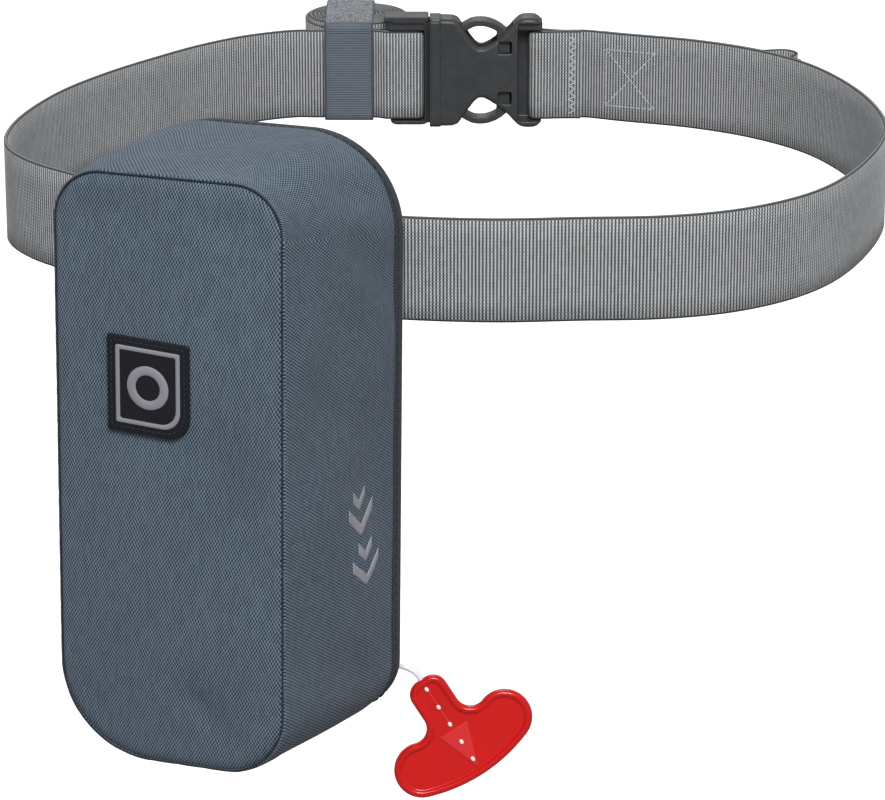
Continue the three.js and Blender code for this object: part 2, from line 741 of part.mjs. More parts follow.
function cordEyelet() {
  const profile = [
    new THREE.Vector2(cordBore, 0),
    new THREE.Vector2(EYELET_RADIUS, 0),
    new THREE.Vector2(EYELET_RADIUS - EYELET_ROUND, EYELET_THICKNESS - EYELET_ROUND),
    new THREE.Vector2(cordBore + EYELET_ROUND, EYELET_THICKNESS),
    new THREE.Vector2(cordBore, EYELET_THICKNESS),
    new THREE.Vector2(cordBore, 0),
  ];
  return new THREE.LatheGeometry(profile, 2 * BORE_SIDES).translate(0, CLEARANCE, 0);
}

// Strap sewn to the back panel above and below the belt, passing behind the belt
function beltLoop() {
  const sewn = CLEARANCE + LOOP_STRAP_THICKNESS / 2;
  const stand = sewn + LOOP_STRAP_STAND;
  const swing = WEBBING_WIDTH / 2 + LOOP_STRAP_MARGIN;
  const foot = swing + LOOP_STRAP_SLOPE;
  const upper = [
    [sewn, foot + LOOP_STRAP_FOOT],
    ...LOOP_STRAP_RISE.map((row) => [mix(sewn, stand, row.out), mix(foot, swing, row.down)]),
    [stand, 0],
  ];
  const lower = upper.slice(0, -1).reverse().map(([y, z]) => [y, -z]);
  const path = [...upper, ...lower].map(([y, z]) => new THREE.Vector3(0, y, z));
  return ribbon(path, new THREE.Vector3(1, 0, 0), LOOP_STRAP_WIDTH, LOOP_STRAP_THICKNESS);
}

function rubberPatch() {
  const outline = (inset) => {
    const radii = {};
    for (const [corner, radius] of Object.entries(PATCH_RADII)) {
      radii[corner] = radius * (1 - inset / (PATCH_WIDTH / 2));
    }
    return roundedOutline(PATCH_WIDTH - 2 * inset, PATCH_HEIGHT - 2 * inset, radii, 4);
  };
  const plate = upright(outline(0), PATCH_THICKNESS);
  const reliefThickness = PATCH_RELIEF * 2;
  const frameHole = outline(PATCH_BORDER + PATCH_FRAME_WIDTH).reverse();
  const frame = upright(outline(PATCH_BORDER), reliefThickness, [frameHole]);
  const ringHole = circle(PATCH_RING_RADIUS - PATCH_RING_WIDTH, PATCH_RING_SIDES).reverse();
  const ring = upright(circle(PATCH_RING_RADIUS, PATCH_RING_SIDES), reliefThickness, [ringHole]);
  for (const relief of [frame, ring]) relief.translate(0, -PATCH_THICKNESS / 2, 0);
  return carve(plate, [frame, ring], []);
}

// Pull handle, drawn across (X) and along (-Y) from the end of the neck, thickness along Z
function handleOutline(inset) {
  const lobeDepth = HANDLE_LENGTH - LOBE_ALONG;
  const baseRadius = (LOBE_ACROSS ** 2 + lobeDepth ** 2 - LOBE_RADIUS ** 2) / (2 * (lobeDepth - LOBE_RADIUS));
  const baseCentre = baseRadius - HANDLE_LENGTH;
  const notchAcross = NECK_HALF_WIDTH + NOTCH_RADIUS;
  const reach = LOBE_RADIUS + NOTCH_RADIUS;
  const notchAlong = -LOBE_ALONG + Math.sqrt(reach ** 2 - (LOBE_ACROSS - notchAcross) ** 2);
  const toLobe = THREE.MathUtils.radToDeg(Math.atan2(-LOBE_ALONG - notchAlong, LOBE_ACROSS - notchAcross));
  const toBase = THREE.MathUtils.radToDeg(Math.atan2(-LOBE_ALONG - baseCentre, LOBE_ACROSS));
  const right = [
    ...arc(NECK_HALF_WIDTH - NECK_CORNER, -NECK_CORNER, NECK_CORNER - inset, 90, 0, 5),
    ...arc(notchAcross, notchAlong, NOTCH_RADIUS + inset, 180, 360 + toLobe, 6),
    ...arc(LOBE_ACROSS, -LOBE_ALONG, LOBE_RADIUS - inset, toLobe + 180, toBase, 10),
    ...arc(0, baseCentre, baseRadius - inset, toBase, -90, 4).slice(1),
  ];
  const left = right.slice(0, -1).reverse().map((point) => new THREE.Vector2(-point.x, point.y));
  return [...right, ...left];
}

function pullHandle() {
  const half = HANDLE_THICKNESS / 2;
  const ring = (inset, height) => handleOutline(inset).map((point) => new THREE.Vector3(point.x, point.y, height));
  const body = stack([
    ring(HANDLE_EDGE, -half),
    ring(0, -half + HANDLE_EDGE),
    ring(0, half - HANDLE_EDGE),
    ring(HANDLE_EDGE, half),
  ]);
  const pockets = [1, -1].map((side) => stack([
    ring(RIM_WIDTH, side * (half - RIM_HEIGHT)),
    ring(RIM_WIDTH, side * (half + 1)),
  ]));
  const floor = half - RIM_HEIGHT;
  const head = new THREE.Shape([
    new THREE.Vector2(-ARROW_HALF_WIDTH, -ARROW_START),
    new THREE.Vector2(0, -ARROW_START - ARROW_LENGTH),
    new THREE.Vector2(ARROW_HALF_WIDTH, -ARROW_START),
  ]);
  const arrow = new THREE.ExtrudeGeometry(head, { depth: 2 * ARROW_HEIGHT, bevelEnabled: false });
  arrow.translate(0, 0, floor - ARROW_HEIGHT);
  const hollowed = carve(body, [], pockets);
  return carve(hollowed, [arrow], []);
}

function pullCord() {
  const route = new THREE.CatmullRomCurve3(CORD_ROUTE.map((point) => new THREE.Vector3(...point)));
  const section = new THREE.Shape(circle(CORD_DIAMETER / 2, CORD_SIDES));
  return new THREE.ExtrudeGeometry(section, { steps: CORD_STEPS, extrudePath: route, bevelEnabled: false });
}

// Assembly

const pack = new THREE.Group();

pack.add(mesh("belt_webbing", beltWebbing(), WEBBING));
pack.add(mesh("accessory_tab", accessoryTab(), WEBBING));

const backRun = new THREE.Group();
backRun.position.copy(runMiddle);
backRun.rotation.z = runAngle;
backRun.add(mesh("roll_keeper", keeperStrap(), KEEPER_CLOTH));
const buckle = new THREE.Group();
buckle.position.z = BUCKLE_RAISE;
buckle.add(mesh("buckle_female", buckleFemale(), BUCKLE_PLASTIC));
buckle.add(mesh("buckle_male", buckleMale(), BUCKLE_PLASTIC));
backRun.add(buckle);
pack.add(backRun);

// The pouch leans with its top towards the belt, and clears the webbing's upper edge
const beltFront = Math.min(...loopCurve.getSpacedPoints(4 * LOOP_STATIONS).map((point) => point.y));
const leanReach = WEBBING_WIDTH / 2 * Math.tan(lean);
const pouch = new THREE.Group();
pouch.position.set(pouchX, beltFront - WEBBING_THICKNESS / 2 - CLEARANCE - leanReach, 0);
pouch.rotation.x = -lean;
pouch.add(mesh("front_panel", frontPanel(), POUCH_CLOTH));
pouch.add(mesh("side_wall", sideWall(), POUCH_CLOTH));
pouch.add(mesh("back_binding", backBinding(), BINDING_CLOTH));
pouch.add(mesh("back_panel", backPanel(), POUCH_CLOTH));
const patch = mesh("front_patch", rubberPatch(), PATCH_RUBBER);
patch.position.set(
  PATCH_ACROSS,
  -POUCH_DEPTH - FRONT_CROWN - CLEARANCE - PATCH_THICKNESS / 2,
  PATCH_UP - FRONT.drop,
);
patch.rotation.y = degrees(-PATCH_TILT_DEG);
pouch.add(patch);
for (const [name, side] of [["belt_loop_left", -1], ["belt_loop_right", 1]]) {
  const strap = mesh(name, beltLoop(), BINDING_CLOTH);
  strap.position.x = side * LOOP_STRAP_SPACING / 2;
  pouch.add(strap);
}
const eyelet = mesh("cord_eyelet", cordEyelet(), EYELET_METAL);
eyelet.position.set(eyeletCentre.x, 0, eyeletCentre.y);
pouch.add(eyelet);
pack.add(pouch);

pack.add(mesh("pull_cord", pullCord(), CORD_COATING));

// The handle hangs from the cord's end, leaning out from under the pouch
const facing = degrees(HANDLE_FACING_DEG);
const tilt = degrees(HANDLE_TILT_DEG);
const leanOut = degrees(HANDLE_LEAN_DEG);
const rightward = new THREE.Vector3(Math.cos(facing), Math.sin(facing), 0);
const downward = new THREE.Vector3(
  Math.sin(facing) * Math.sin(tilt), -Math.cos(facing) * Math.sin(tilt), -Math.cos(tilt),
);
const pullAxis = rightward.clone().multiplyScalar(Math.sin(leanOut)).addScaledVector(downward, Math.cos(leanOut));
const handleAcross = rightward.clone().multiplyScalar(Math.cos(leanOut)).addScaledVector(downward, -Math.sin(leanOut));
const handleUp = pullAxis.clone().negate();
const handleNormal = handleAcross.clone().cross(handleUp);
const handle = mesh("pull_handle", pullHandle(), HANDLE_PLASTIC);
handle.quaternion.setFromRotationMatrix(new THREE.Matrix4().makeBasis(handleAcross, handleUp, handleNormal));
handle.position.set(...CORD_ROUTE[CORD_ROUTE.length - 1]).addScaledVector(pullAxis, CLEARANCE);
pack.add(handle);

export default pack;
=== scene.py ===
"""Looks of an inflatable belt pack: cloth pouch, webbing belt, buckle, pull cord and handle."""

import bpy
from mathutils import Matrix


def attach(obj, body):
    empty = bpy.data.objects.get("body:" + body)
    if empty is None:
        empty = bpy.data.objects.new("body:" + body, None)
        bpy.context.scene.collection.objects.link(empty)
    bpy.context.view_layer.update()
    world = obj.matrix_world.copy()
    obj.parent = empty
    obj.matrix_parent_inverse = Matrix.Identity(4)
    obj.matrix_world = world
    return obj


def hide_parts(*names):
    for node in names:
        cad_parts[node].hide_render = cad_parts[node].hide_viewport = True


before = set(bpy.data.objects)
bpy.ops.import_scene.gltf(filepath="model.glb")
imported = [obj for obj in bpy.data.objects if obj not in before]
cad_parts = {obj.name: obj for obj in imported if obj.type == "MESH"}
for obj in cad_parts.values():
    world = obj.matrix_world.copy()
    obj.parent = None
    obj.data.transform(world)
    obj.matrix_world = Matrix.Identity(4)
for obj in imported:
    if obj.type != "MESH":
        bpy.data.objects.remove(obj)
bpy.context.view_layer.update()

import logging
import math
from dataclasses import dataclass, field, replace
from enum import Enum
from functools import cache
from typing import Iterable, Optional, Protocol, Sequence, Union

import bmesh
import bpy
import numpy as np
from mathutils import Matrix, Vector

LOG = logging.getLogger("belt_pack")
MM = 0.001
BODY = "root"
SEED = 11
RIGHT, REARWARD, UP = np.eye(3)
Array = np.ndarray
Number = Union[float, Array]
Socket = bpy.types.NodeSocket
Colour = tuple[float, float, float]
Point = tuple[float, float, float]
Pair = tuple[float, float]
Inputs = dict[object, object]
WELD_METRES = 1e-7
STITCH_LEAN = 0.3


# Small mathematics


def ease(share: Number) -> Number:
    """Smooth step from 0 to 1."""
    return share * share * (3 - 2 * share)


def mix(start: Number, end: Number, share: Number) -> Number:
    """Value at a share of the way from start to end."""
    return start + (end - start) * share


def unit(vectors: Array) -> Array:
    """Vectors of length one along the last axis."""
    return vectors / np.maximum(np.linalg.norm(vectors, axis=-1, keepdims=True), 1e-12)


def lengths_along(path: Array) -> Array:
    """Length from the start of a path to each of its points."""
    steps = np.linalg.norm(np.diff(path, axis=0), axis=1)
    return np.concatenate([[0.0], np.cumsum(steps)])


def round_lengths(path: Array) -> Array:
    """Lengths along a path that closes on itself, with one more for the closing step."""
    along = lengths_along(path)
    return np.append(along, along[-1] + 1.0)


def resampled(path: Array, stations: Array) -> Array:
    """Points of a path at the given lengths along it."""
    along = lengths_along(path)
    return np.stack([np.interp(stations, along, path[:, axis]) for axis in range(path.shape[1])], axis=1)


def rounded_path(path: Array, passes: int = 2) -> Array:
    """A path with its corners cut smooth, its two ends kept.

    Args:
        path: points of the path.
        passes: how many times the corners are cut.

    Returns:
        The smoothed path.
    """
    for _ in range(passes):
        near = path[:-1] * 0.75 + path[1:] * 0.25
        far = path[:-1] * 0.25 + path[1:] * 0.75
        middle = np.stack([near, far], axis=1).reshape(-1, path.shape[1])
        path = np.concatenate([path[:1], middle, path[-1:]])
    return path


def catmull_rom(points: Array, steps: int) -> Array:
    """Dense centripetal curve through points.

    Args:
        points: the points that the curve passes through.
        steps: how many points are made between two of them.

    Returns:
        The points of the curve, its two ends included.
    """
    padded = np.concatenate([[2 * points[0] - points[1]], points, [2 * points[-1] - points[-2]]])
    share = np.linspace(0, 1, steps, endpoint=False)[:, None]
    made = []
    for p0, p1, p2, p3 in zip(padded, padded[1:], padded[2:], padded[3:]):
        d0, d1, d2 = (math.sqrt(float(np.linalg.norm(b - a))) for a, b in ((p0, p1), (p1, p2), (p2, p3)))
        t1 = ((p1 - p0) / d0 - (p2 - p0) / (d0 + d1) + (p2 - p1) / d1) * d1
        t2 = ((p2 - p1) / d1 - (p3 - p1) / (d1 + d2) + (p3 - p2) / d2) * d1
        bend = -3 * p1 + 3 * p2 - 2 * t1 - t2
        twist = 2 * p1 - 2 * p2 + t1 + t2
        made.append(p1 + t1 * share + bend * share**2 + twist * share**3)
    return np.concatenate([*made, points[-1:]])


def circle(steps: int) -> Array:
    """Points of a circle of radius one, two numbers each."""
    angle = np.linspace(0, math.tau, steps, endpoint=False)
    return np.stack([np.cos(angle), np.sin(angle)], axis=1)


def standing(flat: Array, depth: Number) -> Array:
    """Points given across and up, placed at a depth."""
    return np.stack([flat[:, 0], np.full(len(flat), depth), flat[:, 1]], axis=1)


def lying(flat: Array, height: float) -> Array:
    """Points given across and along, placed at a height."""
    return np.column_stack([flat, np.full(len(flat), height)])


# Meshes


def shown(name: str, data: bpy.types.ID) -> bpy.types.Object:
    """A new object in the scene.

    Args:
        name: the object's name.
        data: the mesh, curve, camera or light that it shows.

    Returns:
        The object, linked to the scene.
    """
    thing = bpy.data.objects.new(name, data)
    bpy.context.scene.collection.objects.link(thing)
    return thing


def lattice_faces(rows: int, cols: int, close_rows: bool, close_cols: bool) -> Array:
    """Four-sided faces over a grid of corners, closed round either way.

    Args:
        rows: rows of corners.
        cols: corners in a row.
        close_rows: whether the last row joins the first.
        close_cols: whether the last column joins the first.

    Returns:
        Corner numbers, four for each face.
    """
    last_row, last_col = rows if close_rows else rows - 1, cols if close_cols else cols - 1
    row, col = np.meshgrid(np.arange(last_row), np.arange(last_col), indexing="ij")
    next_row, next_col = (row + 1) % rows, (col + 1) % cols
    corners = [row * cols + col, row * cols + next_col, next_row * cols + next_col, next_row * cols + col]
    return np.stack(corners, axis=-1).reshape(-1, 4)


def lattice_threads(u: Array, v: Array) -> Array:
    """Thread coordinates of each corner of each face of a grid.

    Args:
        u: coordinate of each row, one more than the faces along the rows.
        v: coordinate of each column, one more than the faces along the columns.

    Returns:
        Two numbers for each face corner, in millimetres.
    """
    low_u, low_v = np.meshgrid(u[:-1], v[:-1], indexing="ij")
    high_u, high_v = np.meshgrid(u[1:], v[1:], indexing="ij")
    pairs = [(low_u, low_v), (low_u, high_v), (high_u, high_v), (high_u, low_v)]
    return np.stack([np.stack(pair, axis=-1) for pair in pairs], axis=2).reshape(-1, 2)


@dataclass
class Skin:
    """Corners, faces and thread coordinates of one piece, gathered in millimetres."""

    corners: list[Array] = field(default_factory=list)
    faces: list[list[int]] = field(default_factory=list)
    threads: list[Array] = field(default_factory=list)
    count: int = 0

    def add(self, corners: Array, faces: Iterable[Sequence[int]], threads: Optional[Array] = None) -> "Skin":
        """Adds a set of corners with the faces between them.

        Args:
            corners: points in millimetres.
            faces: corner numbers of each face, counted from the set's first corner.
            threads: two numbers for each face corner. Left out, they are the corner's X and Z.

        Returns:
            This skin.
        """
        listed = [[int(corner) + self.count for corner in face] for face in faces]
        if threads is None:
            order = np.array([corner - self.count for face in listed for corner in face], dtype=int)
            threads = corners[order][:, [0, 2]]
        self.corners.append(np.asarray(corners, dtype=float))
        self.faces.extend(listed)
        self.threads.append(threads)
        self.count += len(corners)
        return self

    def add_skin(self, other: "Skin") -> "Skin":
        """Adds all that another skin holds, with threads by X and Z."""
        return self.add(np.concatenate(other.corners), other.faces)

    def add_grid(
        self, grid: Array, u: Optional[Array] = None, v: Optional[Array] = None, close_rows: bool = False,
        close_cols: bool = False, caps: bool = False, by_place: bool = False,
    ) -> "Skin":
        """Adds a grid of corners, rows by columns.

        Args:
            grid: array of rows by columns by three, in millimetres.
            u: thread coordinate along the rows. Left out, it counts them.
            v: thread coordinate along the columns. Left out, it counts them.
            close_rows: whether the last row joins the first.
            close_cols: whether the last column joins the first.
            caps: whether the first and last rows are filled with one face each.
            by_place: whether the thread coordinates are each corner's X and Z instead.

        Returns:
            This skin.
        """
        rows, cols = grid.shape[:2]
        u = np.arange(rows + close_rows, dtype=float) if u is None else u
        v = np.arange(cols + close_cols, dtype=float) if v is None else v
        corners = grid.reshape(-1, 3)
        faces = lattice_faces(rows, cols, close_rows, close_cols)
        self.add(corners, faces, None if by_place else lattice_threads(u, v))
        if caps:
            start = self.count - len(corners)
            for first in (0, (rows - 1) * cols):
                self.faces.append([start + first + col for col in range(cols)])
                self.threads.append(corners[first:first + cols][:, [0, 2]])
        return self

    def build(self, name: str, place: Optional[Matrix] = None, weld: bool = False) -> bpy.types.Object:
        """Makes the piece as a shown object, faces out and smooth.

        Args:
            name: the piece's name.
            place: where the drawn frame lies in the row frame, in millimetres.
            weld: whether corners that lie on each other are joined.

        Returns:
            The new object.
        """
        mesh = bpy.data.meshes.new(name)
        corners = np.concatenate(self.corners)
        if place is not None:
            turn = np.array(place)
            corners = corners @ turn[:3, :3].T + turn[:3, 3]
        mesh.from_pydata((corners * MM).tolist(), [], self.faces)
        layer = mesh.uv_layers.new(name="threads")
        layer.data.foreach_set("uv", np.concatenate(self.threads).astype(np.float32).ravel())
        mesh.polygons.foreach_set("use_smooth", [len(face) <= 4 for face in self.faces])
        work = bmesh.new()
        work.from_mesh(mesh)
        if weld:
            bmesh.ops.remove_doubles(work, verts=work.verts, dist=WELD_METRES)
        bmesh.ops.recalc_face_normals(work, faces=work.faces)
        work.to_mesh(mesh)
        work.free()
        return shown(name, mesh)


class Finish(Protocol):
    """Anything that makes a material."""

    def build(self) -> bpy.types.Material:
        """Makes the material, or gives the one already made."""


class Slot(Enum):
    """Material slots of the record."""

    POUCH = "pouch_cloth"
    BINDING = "binding_cloth"
    WEBBING = "webbing"
    KEEPER = "keeper_cloth"
    BUCKLE = "buckle_plastic"
    HANDLE = "handle_plastic"
    CORD = "cord_coating"
    PATCH = "patch_rubber"
    EYELET = "eyelet_metal"


def settle(
    piece: bpy.types.Object, finish: Finish, slot: Slot, *stands_for: str, fill: Optional[float] = None,
) -> bpy.types.Object:
    """Dresses a piece, fixes it to the part and reports it.

    Args:
        piece: the made object.
        finish: its finish.
        slot: the record's material slot.
        stands_for: the CAD nodes that it replaces.
        fill: how full a stuffed piece is, from 0 to 1. Not used.

    Returns:
        The same piece.
    """
    piece.data.materials.clear()
    piece.data.materials.append(finish.build())
    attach(piece, BODY)
    if stands_for:
        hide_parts(*stands_for)
    LOG.info("%s: slot %s, stands for %s", piece.name, slot.value, ", ".join(stands_for) or "itself")
    return piece


def copies(template: Array, faces: Array, frames: Array, origins: Array) -> tuple[Array, Array]:
    """Many turned copies of one small mesh.

    Args:
        template: corners of the small mesh.
        faces: its faces.
        frames: for each copy, three rows that give the template's axes.
        origins: the place of each copy.

    Returns:
        All corners and all faces.
    """
    corners = np.einsum("ck,nkd->ncd", template, frames) + origins[:, None, :]
    shifts = np.arange(len(origins))[:, None, None] * len(template)
    return corners.reshape(-1, 3), (faces[None] + shifts).reshape(-1, faces.shape[1])


# Node sheets


@dataclass
class Sheet:
    """A node tree that is filled one node at a time."""

    tree: bpy.types.NodeTree

    def feed(self, socket: Socket, value: object) -> None:
        """Links a socket to another, or sets it to a plain value.

        Args:
            socket: the socket to fill.
            value: a socket or a plain value.
        """
        if isinstance(value, bpy.types.NodeSocket):
            self.tree.links.new(value, socket)
        else:
            socket.default_value = value

    def put(self, kind: str, inputs: Optional[Inputs] = None, **settings: object) -> bpy.types.Node:
        """Adds a node.

        Args:
            kind: Blender's name of the node type.
            inputs: socket name or number, with the value or the socket that feeds it.
            settings: properties of the node.

        Returns:
            The new node.
        """
        node = self.tree.nodes.new(kind)
        for name, value in settings.items():
            setattr(node, name, value)
        for key, value in (inputs or {}).items():
            self.feed(node.inputs[key], value)
        return node

    def sum(self, operation: str, first: object, second: object = 0.0, third: object = 0.0) -> Socket:
        """Result of a Math node."""
        return self.put("ShaderNodeMath", {0: first, 1: second, 2: third}, operation=operation).outputs[0]

    def shift(self, operation: str, inputs: Inputs) -> Socket:
        """Result of a Vector Math node."""
        return self.put("ShaderNodeVectorMath", inputs, operation=operation).outputs[0]

    def noise(self, place: Socket, scale: object, detail: float, distortion: float = 0.0) -> bpy.types.Node:
        """A Noise Texture node."""
        settings = {"Vector": place, "Scale": scale, "Detail": detail, "Distortion": distortion}
        return self.put("ShaderNodeTexNoise", settings)

    def span(self, value: Socket, *ends: float) -> Socket:
        """Value mapped from the first two of four ends to the last two."""
        return self.put("ShaderNodeMapRange", dict(enumerate((value, *ends)))).outputs[0]

    def between(self, share: object, low: object, high: object) -> Socket:
        """Value between low and high at a share."""
        return self.put("ShaderNodeMix", {0: share, 2: low, 3: high}, data_type="FLOAT").outputs[0]

    def colour(self, share: object, low: object, high: object, blend: str = "MIX") -> Socket:
        """Colour mixed from low and high."""
        node = self.put("ShaderNodeMix", {0: share, 6: low, 7: high}, data_type="RGBA", blend_type=blend)
        return node.outputs[2]

    def grey(self, tone: Socket) -> Socket:
        """Grey of one tone."""
        return self.put("ShaderNodeCombineColor", {0: tone, 1: tone, 2: tone}).outputs[0]

    def bump(self, shader: bpy.types.Node, height: Socket, distance: float, strength: float) -> None:
        """Raises a shader's surface by a height, the distance in millimetres."""
        made = self.put("ShaderNodeBump", {"Height": height, "Distance": distance * MM, "Strength": strength})
        self.feed(shader.inputs["Normal"], made.outputs[0])


VALUE = "NodeSocketFloat"
VECTOR = "NodeSocketVector"


def new_group(
    name: str, inputs: dict[str, tuple[str, object]], outputs: dict[str, str],
) -> tuple[Sheet, bpy.types.NodeOutputs, bpy.types.NodeInputs]:
    """Starts a shader node group.

    Args:
        name: the group's name.
        inputs: socket names, each with its type and its first value.
        outputs: socket names, each with its type.

    Returns:
        The group's sheet, the sockets that it is given and the sockets that it fills.
    """
    tree = bpy.data.node_groups.new(name, "ShaderNodeTree")
    for label, (kind, value) in inputs.items():
        socket = tree.interface.new_socket(name=label, in_out="INPUT", socket_type=kind)
        if value is not None:
            socket.default_value = value
    for label, kind in outputs.items():
        tree.interface.new_socket(name=label, in_out="OUTPUT", socket_type=kind)
    sheet = Sheet(tree)
    return sheet, sheet.put("NodeGroupInput").outputs, sheet.put("NodeGroupOutput").inputs


def thread_group(name: str, drift_scale: float = 0.23) -> bpy.types.NodeTree:
    """Woven threads: a height and a light-dark tone from coordinates in millimetres.

    Args:
        name: the group's name.
        drift_scale: scale of the noise that bends the threads.

    Returns:
        The group's node tree.
    """
    inputs = {
        "Threads": (VECTOR, None), "Along Pitch": (VALUE, 1.0), "Across Pitch": (VALUE, 1.0),
        "Rib Share": (VALUE, 0.0), "Wander": (VALUE, 0.1),
    }
    sheet, given, made = new_group(name, inputs, {"Height": VALUE, "Tone": VALUE})
    drift = sheet.noise(given["Threads"], drift_scale, 2.0)
    centred = sheet.shift("SUBTRACT", {0: drift.outputs["Color"], 1: (0.5, 0.5, 0.5)})
    pushed = sheet.shift("SCALE", {0: centred, "Scale": given["Wander"]})
    moved = sheet.shift("ADD", {0: given["Threads"], 1: pushed})
    apart = sheet.put("ShaderNodeSeparateXYZ", {0: moved})
    turns_u = sheet.sum("DIVIDE", apart.outputs[0], given["Along Pitch"])
    turns_v = sheet.sum("DIVIDE", apart.outputs[1], given["Across Pitch"])
    wave_u = sheet.sum("COSINE", sheet.sum("MULTIPLY", turns_u, math.tau))
    wave_v = sheet.sum("COSINE", sheet.sum("MULTIPLY", turns_v, math.tau))
    weave = sheet.between(given["Rib Share"], sheet.sum("MULTIPLY", wave_u, wave_v), wave_u)
    sheet.feed(made["Height"], sheet.sum("MULTIPLY_ADD", weave, 0.5, 0.5))
    paired = sheet.sum("ROUND", sheet.sum("MULTIPLY", turns_v, 0.5))
    cell = sheet.put("ShaderNodeCombineXYZ", {0: sheet.sum("ROUND", turns_u), 1: paired})
    fleck = sheet.put("ShaderNodeTexWhiteNoise", {"Vector": cell.outputs[0]}, noise_dimensions="2D")
    sheet.feed(made["Tone"], fleck.outputs["Value"])
    return sheet.tree


def tone_group(name: str) -> bpy.types.NodeTree:
    """Slow change of tone over a surface, from handling, dust and uneven dye.

    Args:
        name: the group's name.

    Returns:
        The group's node tree.
    """
    inputs = {"Place": (VECTOR, None), "Patch Scale": (VALUE, 30.0), "Amount": (VALUE, 0.15)}
    sheet, given, made = new_group(name, inputs, {"Tone": VALUE})
    broad = sheet.noise(given["Place"], given["Patch Scale"], 4.0)
    spread = sheet.sum("MULTIPLY", sheet.sum("SUBTRACT", broad.outputs["Fac"], 0.5), given["Amount"])
    sheet.feed(made["Tone"], sheet.sum("ADD", 1.0, spread))
    return sheet.tree


def grain_group(name: str) -> bpy.types.NodeTree:
    """Fine moulded grain with faint scuffs: a height and a roughness change.

    Args:
        name: the group's name.

    Returns:
        The group's node tree.
    """
    inputs = {"Place": (VECTOR, None), "Grain Scale": (VALUE, 3000.0), "Scuff Scale": (VALUE, 120.0)}
    sheet, given, made = new_group(name, inputs, {"Height": VALUE, "Scuff": VALUE})
    sheet.feed(made["Height"], sheet.noise(given["Place"], given["Grain Scale"], 2.0).outputs["Fac"])
    sheet.feed(made["Scuff"], sheet.noise(given["Place"], given["Scuff Scale"], 6.0, 1.5).outputs["Fac"])
    return sheet.tree


class Groups(Enum):
    """The node groups that the finishes share, by name."""

    THREADS = "woven_threads"
    TONE = "uneven_tone"
    GRAIN = "moulded_grain"

    def place_in(self, sheet: Sheet, inputs: Inputs) -> bpy.types.Node:
        """Places this group in a material, made on its first use.

        Args:
            sheet: the material's sheet.
            inputs: socket name, with the value or the socket that feeds it.

        Returns:
            The group's node.
        """
        makers = {Groups.THREADS: thread_group, Groups.TONE: tone_group, Groups.GRAIN: grain_group}
        tree = bpy.data.node_groups.get(self.value) or makers[self](self.value)
        node = sheet.tree.nodes.new("ShaderNodeGroup")
        node.node_tree = tree
        for key, value in inputs.items():
            sheet.feed(node.inputs[key], value)
        return node


# Finishes


def start_material(name: str, constants: Inputs) -> tuple[bpy.types.Material, Sheet, bpy.types.Node]:
    """An empty material with its Principled BSDF joined to its output.

    Args:
        name: the material's name.
        constants: values set on the shader's own sockets.

    Returns:
        The material, its sheet and its shader.
    """
    material = bpy.data.materials.new(name)
    material.use_nodes = True
    material.node_tree.nodes.clear()
    sheet = Sheet(material.node_tree)
    shader = sheet.put("ShaderNodeBsdfPrincipled", constants)
    sheet.put("ShaderNodeOutputMaterial", {"Surface": shader.outputs[0]})
    return material, sheet, shader


def rgba(colour: Colour) -> tuple[float, float, float, float]:
    """A colour with full alpha."""
    return (*colour, 1.0)


